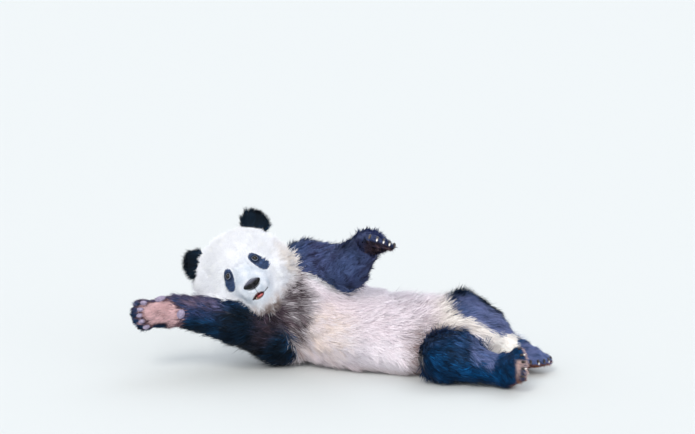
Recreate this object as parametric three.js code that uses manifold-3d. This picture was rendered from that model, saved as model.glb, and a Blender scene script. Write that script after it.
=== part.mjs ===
// A life-size giant panda that lies on its right side, head at -X and belly to the front (-Y).
// Each solid reaches to the tips of the coat. Sizes are in millimetres, +Z is up, and the floor is Z = 0.
import * as THREE from 'three';
import { mergeVertices } from 'three/addons/utils/BufferGeometryUtils.js';
import Module from 'manifold-3d';

const wasm = await Module();
wasm.setup();

const at = (x, y, z) => new THREE.Vector3(x, y, z);
const radians = THREE.MathUtils.degToRad;

// ---- Driving sizes ----
const GAP = 0.4; // clearance between a piece and what it is set into
const CUT = 0.6; // width of the thin cuts that part each limb

const HEAD_PLACE = at(-312, -42, 339); // the middle of the head, under the eyes
const HEAD_TILT = 34; // degrees that the head leans to the animal's right
const HEAD_LIFT = 11; // degrees that the face looks up
const EYE_RADIUS = 11.5;
const EYE = at(50, -4, 92); // of the left eye, in the head's own frame
const EARS = { right: at(-122, 76, -22), left: at(103, 97, -22) }; // the right one is drawn down by the cheek

// The joints of each limb, from the body outwards, and the radius of flesh and coat at each.
const LIMBS = {
  foreleg_right: {
    joints: [at(-190, 5, 99), at(-330, -112, 174), at(-522, -118, 208)],
    radii: [107, 74, 50],
    names: ['upper_arm_right', 'forearm_right', 'forepaw_right'],
  },
  foreleg_left: {
    joints: [at(-108, 58, 312), at(16, -66, 334), at(92, -160, 442)],
    radii: [98, 74, 48],
    names: ['upper_arm_left', 'forearm_left', 'forepaw_left'],
  },
  hindleg_right: {
    joints: [at(410, -60, 88), at(322, -214, 84), at(509, -262, 48)],
    radii: [88, 80, 46],
    names: ['thigh_right', 'shank_right', 'hind_foot_right'],
  },
  hindleg_left: {
    joints: [at(462, 20, 110), at(396, -2, 166), at(566, -36, 50)],
    radii: [82, 72, 42],
    names: ['thigh_left', 'shank_left', 'hind_foot_left'],
  },
};

// Each paw: where its toes point, where its sole faces, and how far its toes curl, in degrees.
const PAWS = {
  foreleg_right: { toward: at(-1, -0.05, -0.1), sole: at(0, -1, 0.12), curl: 8, fore: true },
  foreleg_left: { toward: at(0.3, -0.9, 0.2), sole: at(-0.3, -0.28, -0.9), curl: 8, fore: true },
  hindleg_right: { toward: at(0.36, -0.72, 0.42), sole: at(0.9, 0.4, -0.15), curl: 16, fore: false },
  hindleg_left: { toward: at(0.62, -0.76, 0), sole: at(0.05, -0.1, -1), curl: 10, fore: false },
};
const PAW_SIZES = {
  fore: { palm: [66, 54, 31], toe: [17, 17, 34], spread: 19, claw: 24 },
  hind: { palm: [62, 50, 34], toe: [17, 17, 32], spread: 20, claw: 20 },
};
const TOES = [-2, -1, 0, 1, 2]; // from the inner toe to the outer one
const CLAW_RADIUS = 5.5;

// ---- Finishes ----
const finish = (color, roughness) => new THREE.MeshStandardMaterial({ color, roughness, metalness: 0 });
const WHITE_COAT = finish(0xe6ded2, 0.9);
const BLACK_COAT = finish(0x1e1d22, 0.88);
const HORN = finish(0xb9ab93, 0.45);
const PAD_SKIN = finish(0x9a929f, 0.6);
const NOSE_SKIN = finish(0x1d1b20, 0.4);
const EYE_GLOSS = finish(0x24160f, 0.08);
const TONGUE_SKIN = finish(0xc9606a, 0.45);

// ---- Flesh: signed distances that give the body its form ----

// A rounded mass with three half sizes, which may be turned.
function mass(centre, half, turn = new THREE.Quaternion()) {
  const back = turn.clone().invert();
  const p = new THREE.Vector3();
  const [a, b, c] = half;
  return (point) => {
    p.copy(point).sub(centre).applyQuaternion(back);
    const near = Math.hypot(p.x / a, p.y / b, p.z / c);
    const steep = Math.hypot(p.x / (a * a), p.y / (b * b), p.z / (c * c));
    return steep < 1e-9 ? -Math.min(a, b, c) : (near * (near - 1)) / steep;
  };
}

// A round taper from one joint to the next, of one radius at each.
function taper(from, to, fromRadius, toRadius) {
  const along = to.clone().sub(from);
  const p = new THREE.Vector3();
  return (point) => {
    p.copy(point).sub(from);
    const share = THREE.MathUtils.clamp(p.dot(along) / along.lengthSq(), 0, 1);
    return p.addScaledVector(along, -share).length() - THREE.MathUtils.lerp(fromRadius, toRadius, share);
  };
}

// The fillet that two masses draw between them where their depths differ by less than `reach`.
function fillet(a, b, reach) {
  const share = Math.max(reach - Math.abs(a - b), 0) / reach;
  return (share * share * reach) / 4;
}

// Several masses as one body of flesh, with fillets of one reach between them.
const flesh = (masses, reach) => (p) =>
  masses.reduce((sum, depth) => {
    const next = depth(p);
    return Math.min(sum, next) - fillet(sum, next, reach);
  }, 1e4);

// ---- Solids ----

// A closed three.js geometry as a solid.
function solidOf(geometry) {
  const bare = geometry.clone();
  bare.deleteAttribute('normal');
  bare.deleteAttribute('uv');
  const merged = mergeVertices(bare, 1e-3);
  return new wasm.Manifold(
    new wasm.Mesh({
      numProp: 3,
      vertProperties: merged.attributes.position.array,
      triVerts: new Uint32Array(merged.index.array),
    }),
  );
}

function geometryOf(solid) {
  const mesh = solid.getMesh();
  const geometry = new THREE.BufferGeometry();
  geometry.setAttribute('position', new THREE.BufferAttribute(mesh.vertProperties, 3));
  geometry.setIndex(new THREE.BufferAttribute(mesh.triVerts, 1));
  return geometry;
}

const LONGEST_RAY = 400;

// How far flesh goes from a point inside it, along a direction.
function rayLength(depth, from, direction) {
  const p = new THREE.Vector3();
  let length = 0;
  for (let round = 0; round < 60; round++) {
    const here = depth(p.copy(from).addScaledVector(direction, length));
    length -= here * 0.9;
    if (Math.abs(here) < 0.05 || length > LONGEST_RAY) break;
  }
  return THREE.MathUtils.clamp(length, 1, LONGEST_RAY);
}

// A body of flesh as a solid: a capsule about a straight bone, whose vertices go out to the flesh's surface.
function clad(depth, from, to, { sides, rings, cap }) {
  const bone = to.clone().sub(from);
  const half = bone.length() / 2;
  const capsule = new THREE.CapsuleGeometry(1, 2 * half, cap, sides, rings);
  const turn = new THREE.Quaternion().setFromUnitVectors(at(0, 1, 0), bone.clone().normalize());
  const { position } = capsule.attributes;
  for (let i = 0; i < position.count; i++) {
    const vertex = at(0, 0, 0).fromBufferAttribute(position, i);
    const axial = THREE.MathUtils.clamp(vertex.y, -half, half);
    const direction = vertex.sub(at(0, axial, 0)).normalize().applyQuaternion(turn);
    const root = from.clone().lerp(to, axial / (2 * half) + 0.5);
    root.addScaledVector(direction, rayLength(depth, root, direction));
    position.setXYZ(i, root.x, root.y, root.z);
  }
  return solidOf(capsule);
}

// The same solid with each vertex moved out along its normal.
function swollen(solid, by) {
  const geometry = geometryOf(solid);
  geometry.computeVertexNormals();
  const { position, normal } = geometry.attributes;
  const out = new THREE.Vector3();
  for (let i = 0; i < position.count; i++) {
    out.fromBufferAttribute(normal, i).multiplyScalar(by);
    position.setXYZ(i, position.getX(i) + out.x, position.getY(i) + out.y, position.getZ(i) + out.z);
  }
  return solidOf(geometry);
}

// A solid cut back from its neighbours, with clearance.
const less = (solid, ...others) =>
  others.reduce((left, other) => left.subtract(swollen(other, GAP)).subtract(other), solid);

// What is left of a solid on the side of a plane that its normal points to, half a cut away from it.
function beyond(solid, point, normal) {
  const out = normal.clone().normalize();
  return solid.trimByPlane(out.toArray(), out.dot(point) + CUT / 2);
}

// The largest single body of a solid: a cut by a neighbour can leave scraps.
const whole = (solid) => solid.decompose().sort((a, b) => b.volume() - a.volume())[0];
const resting = (solid) => solid.trimByPlane([0, 0, 1], 0); // flat where it meets the floor

function ball(centre, half, turn = new THREE.Quaternion(), sides = 10, rows = 7) {
  const sphere = new THREE.SphereGeometry(1, sides, rows).scale(...half);
  return solidOf(sphere.applyQuaternion(turn).translate(...centre.toArray()));
}

function meshOf(name, solid, material) {
  const geometry = geometryOf(solid).toNonIndexed();
  geometry.computeVertexNormals();
  const mesh = new THREE.Mesh(geometry, material);
  mesh.name = name;
  return mesh;
}

// The turn that takes +Z to one direction and +Y as nearly as it can to another.
function facing(forward, up) {
  const z = forward.clone().normalize();
  const x = up.clone().cross(z).normalize();
  return new THREE.Quaternion().setFromRotationMatrix(new THREE.Matrix4().makeBasis(x, z.clone().cross(x), z));
}

// ---- Head, in its own frame: +X to the animal's left, +Y to the crown, +Z to the front ----

const head = new THREE.Group();
head.position.copy(HEAD_PLACE);
head.quaternion
  .setFromAxisAngle(at(1, 0, 0), radians(90 - HEAD_LIFT))
  .multiply(new THREE.Quaternion().setFromAxisAngle(at(0, 0, 1), radians(HEAD_TILT)));
head.updateMatrix();

const SIDES = { right: -1, left: 1 };
const mirrored = (make) => Object.values(SIDES).map(make);

const headFlesh = flesh(
  [
    mass(at(0, 18, -22), [126, 100, 118]), // braincase and forehead
    mass(at(0, -30, -30), [138, 100, 104]), // back of the jaws
    ...mirrored((s) => mass(at(s * 78, -50, -6), [70, 84, 80])), // cheeks
    mass(at(-46, 28, -50), [86, 94, 80]), // scruff behind the crown
    mass(at(-108, -8, -48), [84, 80, 72]), // the right cheek's ruff, pushed up by the arm
    mass(at(0, -48, 52), [58, 50, 74]), // bridge and snout
    mass(at(0, -82, 96), [48, 28, 46]), // upper lips
    mass(at(0, -132, 46), [58, 38, 58]), // lower jaw and chin
    ...mirrored((s) => mass(at(s * 42, 28, 62), [34, 20, 26])), // brows
  ],
  34,
);
const skull = clad(headFlesh, at(0, -34, -12), at(0, -40, 20), { sides: 20, rings: 2, cap: 7 });

const NOSE = { centre: at(0, -66, 134), half: [30, 16, 17] };
const nose = ball(NOSE.centre, NOSE.half, undefined, 12, 7);

// The open mouth, widest across the lips, and the tongue in it.
const MOUTH = { centre: at(0, -108, 84), half: [28, 10, 60] };
const mouth = ball(MOUTH.centre, MOUTH.half, undefined, 14, 7);
const tongue = ball(at(0, MOUTH.centre.y - 2.5, MOUTH.centre.z - 2), [20, 6, 40], undefined, 10, 5);

function earSolid(name) {
  const side = SIDES[name];
  const root = EARS[name];
  const turn = facing(at(side * 0.28, 0.05, 1), at(side * 0.72, 0.7, 0));
  const shell = mass(root, [51, 54, 24], turn);
  const hollow = mass(root.clone().add(at(side * 6, 6, 23)), [33, 36, 16], turn);
  const depth = (p) => Math.max(shell(p), -hollow(p));
  const middle = root.clone().add(at(0, 0, -4));
  return clad(depth, middle, middle.clone().add(at(0, 0, 1)), { sides: 12, rings: 1, cap: 3 });
}

// ---- Torso ----

const CHEST = at(-78, 45, 152);
const HIPS = at(440, -8, 108);
const NECK_ROOT = at(-180, 42, 188);
const NECK_TOP = at(-285, 10, 290);
const TAIL_ROOT = at(514, 92, 90);
const TAIL_TIP = at(568, 118, 58);
const TAIL_RADII = [36, 28];

const torsoFlesh = flesh(
  [
    mass(CHEST, [168, 172, 156]),
    mass(at(-64, 30, 268), [120, 96, 92]), // upper shoulder
    mass(at(118, 4, 122), [214, 176, 130]), // belly
    mass(at(130, -44, 70), [170, 106, 70]), // its underside, spread on the floor
    mass(at(240, -116, 64), [92, 84, 64]), // fold of the flank before the knee
    mass(at(350, -14, 116), [158, 156, 120]), // haunches
    mass(at(462, -6, 92), [80, 104, 90]), // rump
    taper(NECK_ROOT, NECK_TOP, 134, 104),
  ],
  60,
);

// ---- Limbs ----

const TOE_SHARE = 0.62; // of a toe that stands clear of the palm

// A paw's frame: +Z to the toes, +Y to the sole, and x from its inner toe to its outer one.
function pawOf(limb) {
  const { toward, sole, curl, fore } = PAWS[limb];
  const turn = facing(toward, sole);
  const wrist = LIMBS[limb].joints[2];
  const outward = limb.endsWith('right') ? 1 : -1;
  const local = (x, y, z) => at(outward * x, y, z).applyQuaternion(turn).add(wrist);
  return { turn, local, curl, outward, ...(fore ? PAW_SIZES.fore : PAW_SIZES.hind) };
}

// The middle and the turn of each toe.
function toesOf(limb) {
  const { turn, local, curl, outward, palm, toe, spread } = pawOf(limb);
  return TOES.map((n) => {
    const splay = new THREE.Euler(radians(-curl), radians(outward * n * 5), 0);
    const fan = new THREE.Quaternion().setFromEuler(splay);
    const centre = local(n * spread, 4, palm[0] * 1.62 + toe[2] * (TOE_SHARE - 0.5) - 4 * n * n);
    return { centre, turn: turn.clone().multiply(fan) };
  });
}

function limbFlesh(limb) {
  const { joints, radii } = LIMBS[limb];
  const { turn, local, palm } = pawOf(limb);
  const [long, wide, thick] = palm;
  const heel = PAWS[limb].fore ? [] : [mass(local(0, 10, -4), [40, 34, 44], turn)];
  const masses = [
    taper(joints[0], joints[1], radii[0], radii[1]),
    taper(joints[1], joints[2], radii[1], radii[2]),
    mass(local(0, 0, long * 0.8), [wide, thick, long], turn),
    ...heel,
  ];
  return flesh(masses, 30);
}

// A claw: a cone that curves towards the sole.
function clawSolid({ claw, toe }, { centre, turn }) {
  const cone = new THREE.ConeGeometry(CLAW_RADIUS, claw, 5, 2);
  const { position } = cone.attributes;
  for (let i = 0; i < position.count; i++) {
    const share = position.getY(i) / claw + 0.5;
    position.setZ(i, position.getZ(i) - share * share * claw * 0.4);
  }
  cone.rotateX(Math.PI / 2); // +Z to the point and +Y to the hollow of the curve
  const root = at(0, -toe[1] * 0.25, toe[2] + claw * 0.22).applyQuaternion(turn).add(centre);
  return solidOf(cone.applyQuaternion(turn).translate(...root.toArray()));
}

// The bare pads of a palm: one under each toe, one at the thumb and one at the wrist.
function padSolids(limb) {
  const { turn, local, palm, toe } = pawOf(limb);
  const [long, wide, thick] = palm;
  const digits = toesOf(limb).map((t) => {
    const middle = at(0, toe[1] * 0.66, toe[2] * 0.12).applyQuaternion(t.turn).add(t.centre);
    return ball(middle, [8.5, 7, 11], t.turn, 7, 5);
  });
  return {
    digits,
    thumb: ball(local(-wide * 0.8, thick * 0.5, long * 0.62), [11, 11, 17], turn, 7, 5),
    wrist: ball(local(wide * 0.1, LIMBS[limb].radii[2] - 3, -long * 0.3), [14, 10, 13], turn, 7, 5),
  };
}

const LIMB_MESH = { sides: 10, rings: 3, cap: 3 };
const PAW_MESH = { sides: 10, rings: 2, cap: 3 };

// The three lengths of a limb, from the body outwards, parted at its middle joints.
function lengthsOf(limb) {
  const { joints } = LIMBS[limb];
  const { turn, local, palm, toe } = pawOf(limb);
  const depth = limbFlesh(limb);
  const [upper, lower] = [joints[1].clone().sub(joints[0]), joints[2].clone().sub(joints[1])];
  const bend = upper.clone().normalize().add(lower.clone().normalize());
  const wristPlane = lower.clone().normalize().add(PAWS[limb].toward.clone().normalize());
  const palmSolid = clad(depth, local(0, 0, 10), local(0, 0, palm[0]), PAW_MESH);
  const paw = toesOf(limb).reduce((sum, t) => sum.add(ball(t.centre, toe, t.turn, 7, 5)), palmSolid);
  return [
    beyond(clad(depth, joints[0], joints[1], LIMB_MESH), joints[1], bend.clone().negate()),
    beyond(
      beyond(clad(depth, joints[1], joints[2], LIMB_MESH), joints[1], bend),
      joints[2],
      wristPlane.clone().negate(),
    ),
    beyond(paw, joints[2], wristPlane),
  ];
}

// ---- Assembly ----

const panda = new THREE.Group();
const posed = new THREE.Group(); // moved at the end, so that the origin is under the middle
panda.add(posed);
posed.add(head);

const eyeSolid = (s) => ball(EYE.clone().setX(s * EYE.x), Array(3).fill(EYE_RADIUS), undefined, 10, 6);
const eyes = Object.entries(SIDES).map(([name, s]) => [name, eyeSolid(s)]);
const ears = Object.keys(SIDES).map((name) => [name, earSolid(name)]);
const setInHead = [...ears, ...eyes].map(([, solid]) => solid);
const headSolid = less(skull, ...setInHead, nose).subtract(mouth);
head.add(meshOf('head', whole(headSolid), WHITE_COAT));
head.add(meshOf('nose', nose, NOSE_SKIN));
head.add(meshOf('tongue', tongue, TONGUE_SKIN));
ears.forEach(([side, ear]) => head.add(meshOf(`ear_${side}`, ear, BLACK_COAT)));
eyes.forEach(([side, eye]) => head.add(meshOf(`eye_${side}`, eye, EYE_GLOSS)));

const placed = [skull, ...ears.map(([, ear]) => ear)].map((solid) => solid.transform(head.matrix.elements));
for (const [limb, { names }] of Object.entries(LIMBS)) {
  const neighbours = [...placed];
  lengthsOf(limb).forEach((length, n) => {
    const solid = whole(resting(less(length, ...neighbours)));
    placed.push(length);
    if (n === 2) {
      const grown = (name, piece, material) =>
        posed.add(meshOf(name, whole(resting(less(piece, ...placed))), material));
      toesOf(limb).forEach((toe, i) => grown(`claw_${limb}_${i + 1}`, clawSolid(pawOf(limb), toe), HORN));
      if (limb === 'foreleg_right') {
        const { digits, thumb, wrist } = padSolids(limb);
        digits.forEach((pad, i) => grown(`toe_pad_${i + 1}`, pad, PAD_SKIN));
        grown('thumb_pad', thumb, PAD_SKIN);
        grown('wrist_pad', wrist, PAD_SKIN);
      }
    }
    posed.add(meshOf(names[n], solid, BLACK_COAT));
  });
}

const tailFlesh = taper(TAIL_ROOT, TAIL_TIP, ...TAIL_RADII);
const tailSolid = clad(tailFlesh, TAIL_ROOT, TAIL_TIP, { sides: 8, rings: 1, cap: 3 });
const tail = whole(resting(less(tailSolid, ...placed)));
const neckward = NECK_TOP.clone().sub(NECK_ROOT);
const trunkSolid = clad(torsoFlesh, CHEST, HIPS, { sides: 16, rings: 7, cap: 3 });
const neckSolid = clad(torsoFlesh, NECK_ROOT, NECK_TOP, { sides: 12, rings: 2, cap: 3 });
const trunk = beyond(trunkSolid, NECK_ROOT, neckward.clone().negate());
const neck = beyond(neckSolid, NECK_ROOT, neckward);
posed.add(meshOf('trunk', whole(resting(less(trunk, ...placed, tailSolid))), WHITE_COAT));
posed.add(meshOf('neck', whole(resting(less(neck, ...placed))), WHITE_COAT));
posed.add(meshOf('tail', tail, WHITE_COAT));

// The origin is on the floor, under the middle of the whole animal.
const box = new THREE.Box3().setFromObject(panda, true);
const middle = box.getCenter(new THREE.Vector3());
posed.position.set(-middle.x, -middle.y, -box.min.z);

export default panda;
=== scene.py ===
import math

import bmesh
import bpy
import numpy as np
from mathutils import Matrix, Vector
from mathutils.bvhtree import BVHTree
from mathutils.kdtree import KDTree


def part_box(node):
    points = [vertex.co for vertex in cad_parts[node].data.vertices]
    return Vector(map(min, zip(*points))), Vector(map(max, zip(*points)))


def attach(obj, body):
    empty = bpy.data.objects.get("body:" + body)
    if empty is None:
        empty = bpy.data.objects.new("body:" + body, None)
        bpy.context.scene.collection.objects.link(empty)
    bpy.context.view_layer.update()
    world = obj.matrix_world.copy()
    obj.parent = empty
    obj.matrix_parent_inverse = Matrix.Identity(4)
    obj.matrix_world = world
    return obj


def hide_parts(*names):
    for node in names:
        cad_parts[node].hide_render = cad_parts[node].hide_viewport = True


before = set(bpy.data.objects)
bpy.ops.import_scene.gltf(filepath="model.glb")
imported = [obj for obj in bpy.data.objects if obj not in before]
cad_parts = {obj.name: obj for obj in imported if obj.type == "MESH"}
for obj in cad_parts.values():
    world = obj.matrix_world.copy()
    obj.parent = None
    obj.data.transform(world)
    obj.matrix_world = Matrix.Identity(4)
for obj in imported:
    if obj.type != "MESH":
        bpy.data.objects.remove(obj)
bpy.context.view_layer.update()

mm = 0.001
draw = np.random.default_rng(1869)   # every tuft's own chances, drawn in the order of the pieces
THIN = 1.0   # a thinner coat while trying things

SIDES = ("right", "left")
EARS = [f"ear_{which}" for which in SIDES]
FORELEGS = {which: [f"upper_arm_{which}", f"forearm_{which}", f"forepaw_{which}"] for which in SIDES}
HINDLEGS = {which: [f"thigh_{which}", f"shank_{which}", f"hind_foot_{which}"] for which in SIDES}
LEGS = list(FORELEGS.values()) + list(HINDLEGS.values())
FLESH = ["head", "neck", "trunk", "tail"] + EARS + sum(LEGS, [])
PADS = [f"toe_pad_{n}" for n in range(1, 6)] + ["thumb_pad", "wrist_pad"]
CLAWS = [n for n in sorted(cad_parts) if n.startswith("claw_")]


# ---------------------------------------------------------------- small tools

def linear(code):
    """An sRGB hex colour as linear numbers."""
    parts = [int(code[k:k + 2], 16) / 255 for k in (1, 3, 5)]
    return [c / 12.92 if c <= 0.04045 else ((c + 0.055) / 1.055) ** 2.4 for c in parts] + [1.0]


def tone(code):
    """The same colour as an array of three, to be mixed in numbers."""
    return np.array(linear(code)[:3])


def feed(node, inputs):
    """Fills a node's inputs: one given as a socket is linked, any other is its value."""
    for name, value in inputs.items():
        if isinstance(value, bpy.types.NodeSocket):
            node.id_data.links.new(value, node.inputs[name])
        else:
            node.inputs[name].default_value = value


def add(tree, kind, inputs=None, stops=(), **settings):
    """One shader node with its settings and inputs. Stops are the places and colours of a colour ramp."""
    made = tree.nodes.new(kind)
    for name, value in settings.items():
        setattr(made, name, value)
    for k, (place, code) in enumerate(stops):
        ramp = made.color_ramp.elements
        stop = ramp[k] if k < len(ramp) else ramp.new(place)
        stop.position, stop.color = place, linear(code)
    feed(made, inputs or {})
    return made


def material(name):
    """A new material, its tree and its surface shader, already wired to the output."""
    made = bpy.data.materials.new(name)
    made.use_nodes = True
    tree = made.node_tree
    tree.nodes.clear()
    shader = add(tree, "ShaderNodeBsdfPrincipled")
    add(tree, "ShaderNodeOutputMaterial", {"Surface": shader.outputs["BSDF"]})
    return made, tree, shader


def every(size):
    """The scale of a pattern whose cells are `size` metres across. On the animal most are finer than a
    millimetre, and they are drawn as coarse as they need to be to show."""
    return 1 / size


def unit(v):
    return v / np.maximum(np.linalg.norm(v, axis=-1, keepdims=True), 1e-12)


def step(x, low, high):
    """0 below low, 1 above high, smooth between; low may be above high."""
    t = np.clip((x - low) / (high - low), 0, 1)
    return t * t * (3 - 2 * t)


def waves(p, size, seed, terms=7):
    """Smooth noise from about -1 to 1, with lumps about `size` metres across."""
    rng = np.random.default_rng(seed)
    turns = unit(rng.normal(size=(terms, 3))) * (2 * math.pi / size) * rng.uniform(0.6, 1.5, (terms, 1)) / 1.6
    phase = rng.uniform(0, 2 * math.pi, terms)
    return np.sin(p @ turns.T + phase).sum(1) / math.sqrt(terms) * 0.9


def blend(a, b, share):
    return a + (b - a) * share[:, None]


def wash(under, over, share, most=1.0):
    """One colour laid over another, by a share that is held between 0 and `most`."""
    return blend(under, over, np.clip(share, 0, most))


def points(mesh):
    co = np.empty(len(mesh.vertices) * 3, np.float32)
    mesh.vertices.foreach_get("co", co)
    return co.reshape(-1, 3).astype(float)


def middle(node):
    """The middle of a CAD node's box."""
    lo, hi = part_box(node)
    return np.array((lo + hi) / 2)


def put(name, mesh, finish, replaced=()):
    """A finished piece of the animal, and the CAD nodes that it stands for."""
    obj = bpy.data.objects.new(name, mesh)
    bpy.context.scene.collection.objects.link(obj)
    mesh.materials.append(finish)
    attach(obj, "root")
    if replaced:
        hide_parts(*replaced)


def paint(mesh, colour):
    """The coat's colour at each point of a mesh, where its material finds it."""
    layer = mesh.color_attributes.new("coat", "FLOAT_COLOR", "POINT")
    solid = np.concatenate([colour, np.ones((len(colour), 1))], 1)
    layer.data.foreach_set("color", solid.astype(np.float32).ravel())


def pour(part, body):
    """Adds one bmesh to another and frees it."""
    held = bpy.data.meshes.new("held")
    part.to_mesh(held)
    part.free()
    body.from_mesh(held)
    bpy.data.meshes.remove(held)


def cad_copy(body, name, grow):
    """Adds a merged copy of a CAD node to a bmesh, grown outwards."""
    part = bmesh.new()
    part.from_mesh(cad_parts[name].data)
    bmesh.ops.remove_doubles(part, verts=part.verts, dist=2e-5)
    part.normal_update()
    for v in part.verts:
        v.co += v.normal * grow
    pour(part, body)


def islands_of(whole):
    """The separate shells of a bmesh, as lists of their points, the smallest first."""
    seen, islands = set(), []
    for start in whole.verts:
        if start in seen:
            continue
        seen.add(start)
        island, edge = [], [start]
        while edge:
            v = edge.pop()
            island.append(v)
            for e in v.link_edges:
                o = e.other_vert(v)
                if o not in seen:
                    seen.add(o)
                    edge.append(o)
        islands.append(island)
    return sorted(islands, key=len)


def remeshed(body, voxel):
    """The bmesh as one even closed surface, with loose bubbles dropped."""
    held = bpy.data.meshes.new("held")
    body.to_mesh(held)
    body.free()
    obj = bpy.data.objects.new("held", held)
    bpy.context.scene.collection.objects.link(obj)
    mod = obj.modifiers.new("even", "REMESH")
    mod.mode = "VOXEL"
    mod.voxel_size = voxel
    mod.adaptivity = 0
    deps = bpy.context.evaluated_depsgraph_get()
    made = bpy.data.meshes.new_from_object(obj.evaluated_get(deps))
    bpy.data.objects.remove(obj)
    bpy.data.meshes.remove(held)
    whole = bmesh.new()
    whole.from_mesh(made)
    bpy.data.meshes.remove(made)
    bubbles = [v for island in islands_of(whole)[:-1] for v in island]
    bmesh.ops.delete(whole, geom=bubbles, context="VERTS")
    return whole


def solid_tree(names):
    """A search tree over CAD nodes, and the number in `names` that each of its faces comes from."""
    spots, corners, owner = [], [], []
    for k, name in enumerate(names):
        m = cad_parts[name].data
        start = len(spots)
        spots += [v.co.copy() for v in m.vertices]
        corners += [[start + i for i in f.vertices] for f in m.polygons]
        owner += [k] * len(m.polygons)
    return BVHTree.FromPolygons(spots, corners), owner


class Surface:
    """A mesh's points and edges as arrays, with smoothing over its edges."""

    def __init__(self, mesh):
        self.mesh = mesh
        self.p = points(mesh)
        edges = np.empty(len(mesh.edges) * 2, np.int32)
        mesh.edges.foreach_get("vertices", edges)
        a, b = edges.reshape(-1, 2).T
        self.a, self.b = np.concatenate([a, b]), np.concatenate([b, a])
        self.n = len(self.p)
        self.degree = np.maximum(np.bincount(self.a, minlength=self.n), 1)

    def around(self, f):
        """Each point's mean over its neighbours."""
        f2 = f.reshape(self.n, -1)
        out = np.stack([np.bincount(self.a, f2[self.b, k], self.n) for k in range(f2.shape[1])], 1)
        return (out / self.degree[:, None]).reshape(f.shape)

    def soften(self, f, rounds, share=0.5):
        share = np.asarray(share, float)
        if share.ndim and f.ndim > 1:
            share = share[:, None]
        for _ in range(rounds):
            f = f + (self.around(f) - f) * share
        return f

    def normals(self):
        self.mesh.vertices.foreach_set("co", self.p.astype(np.float32).ravel())
        self.mesh.update()
        out = np.empty(self.n * 3, np.float32)
        self.mesh.vertex_normals.foreach_get("vector", out)
        return out.reshape(-1, 3).astype(float)


# ---------------------------------------------------------------- camera

AIM = Vector((0.021, 0.083, 0.489))
LOW_VIEW = math.radians(11)
STAND_BACK = 7.0
cam = bpy.data.cameras.new("camera")
cam.lens, cam.sensor_width, cam.clip_end = 113.4, 36, 200
camera = bpy.data.objects.new("camera", cam)
camera.location = AIM + Vector((0, -math.cos(LOW_VIEW), math.sin(LOW_VIEW))) * STAND_BACK
camera.rotation_euler = (math.pi / 2 - LOW_VIEW, 0, 0)
bpy.context.scene.collection.objects.link(camera)
bpy.context.scene.camera = camera


# ---------------------------------------------------------------- head frame, from its eyes and nose

eye_at = {which: middle(f"eye_{which}") for which in SIDES}
nose_at = middle("nose")
across = unit(eye_at["left"] - eye_at["right"])
between = (eye_at["left"] + eye_at["right"]) / 2
down = nose_at - between
down = unit(down - across * (down @ across))
ahead = np.cross(across, down)
FALL, JUT = 62, 42                          # how far the nose lies below and ahead of the eyes
crown = -(FALL * down + JUT * ahead) / math.hypot(FALL, JUT)
face = (JUT * down - FALL * ahead) / math.hypot(FALL, JUT)
HEAD = np.array([across, crown, face])      # rows: the animal's left, up through the crown, out of the face
head_origin = between + crown * 0.004 - face * 0.092


def in_head(p):
    """Points of the scene as left, up and out of the face, in metres from the head's middle."""
    return (np.asarray(p) - head_origin) @ HEAD.T


def from_head(h):
    return head_origin + np.asarray(h, float) @ HEAD


EYE = in_head(eye_at["left"])
NOSE = in_head(nose_at)
TONGUE = in_head(middle("tongue"))
MOUTH = TONGUE * [0, 1, 1] + np.array([-3.0, 2.5, 2]) * mm
GAPE = np.array([17.0, 8.8]) * mm           # half the open mouth's width and height
FACE_FRONT = 60 * mm                        # nothing of the mouth lies further back than this
EAR_FOOT = from_head([0, 40 * mm, -10 * mm])     # in the skull, midway under the two ears


def gaze_of(sign):
    """Which way an eye looks: ahead, a little outwards and up. The sign is 1 on the animal's left."""
    return unit(np.array([0.16 * sign, 0.06, 1.0])) @ HEAD


def mouth_rise(x):
    """How far the closed line of the mouth climbs at x from its middle: more on the animal's left."""
    return np.where(x > 0, 1.4, 0.3) * mm * (x / GAPE[0]) ** 2


def mouth_depth(h):
    """Below 1 inside the open mouth, seen from the front of the face."""
    aside = h[..., 0] - MOUTH[0]
    x, y = aside / GAPE[0], (h[..., 1] - MOUTH[1] - mouth_rise(aside)) / GAPE[1]
    return np.hypot(x, y) + np.where(h[..., 2] < FACE_FRONT, 9.0, 0)


# ---------------------------------------------------------------- skin

VOXEL = 5.0 * mm
JAW_PLUG = np.array([46, 14, 45]) * mm           # half its width, height and depth
body = bmesh.new()
for name in FLESH:
    cad_copy(body, name, 1.0 * mm)
plug = bmesh.ops.create_icosphere(body, subdivisions=4, radius=1.0)["verts"]
for v in plug:                                   # the jaws closed over, to be opened again in the fine skin
    v.co = Vector(from_head(MOUTH * [1, 1, 0] + [0, 0, 70 * mm] + np.array(v.co) * JAW_PLUG))
skin_bm = remeshed(body, VOXEL)


def near_face(v, nose_reach, eye_reach):
    """Whether a place is near the nose, the mouth or an eye, where the skin needs finer faces."""
    p = np.array(v)
    h = in_head(p)
    return (np.linalg.norm(h - NOSE) < nose_reach or mouth_depth(h) < 1.6
            or min(np.linalg.norm(p - e) for e in eye_at.values()) < eye_reach)


for nose_reach, eye_reach in ((62 * mm, 30 * mm), (30 * mm, 19 * mm)):
    fine = [e for e in skin_bm.edges if near_face((e.verts[0].co + e.verts[1].co) / 2, nose_reach, eye_reach)]
    bmesh.ops.subdivide_edges(skin_bm, edges=fine, cuts=1, use_grid_fill=True)
bmesh.ops.triangulate(skin_bm, faces=[f for f in skin_bm.faces if len(f.verts) > 4])
skin_mesh = bpy.data.meshes.new("skin")
skin_bm.to_mesh(skin_mesh)
skin_bm.free()
skin = Surface(skin_mesh)

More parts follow.
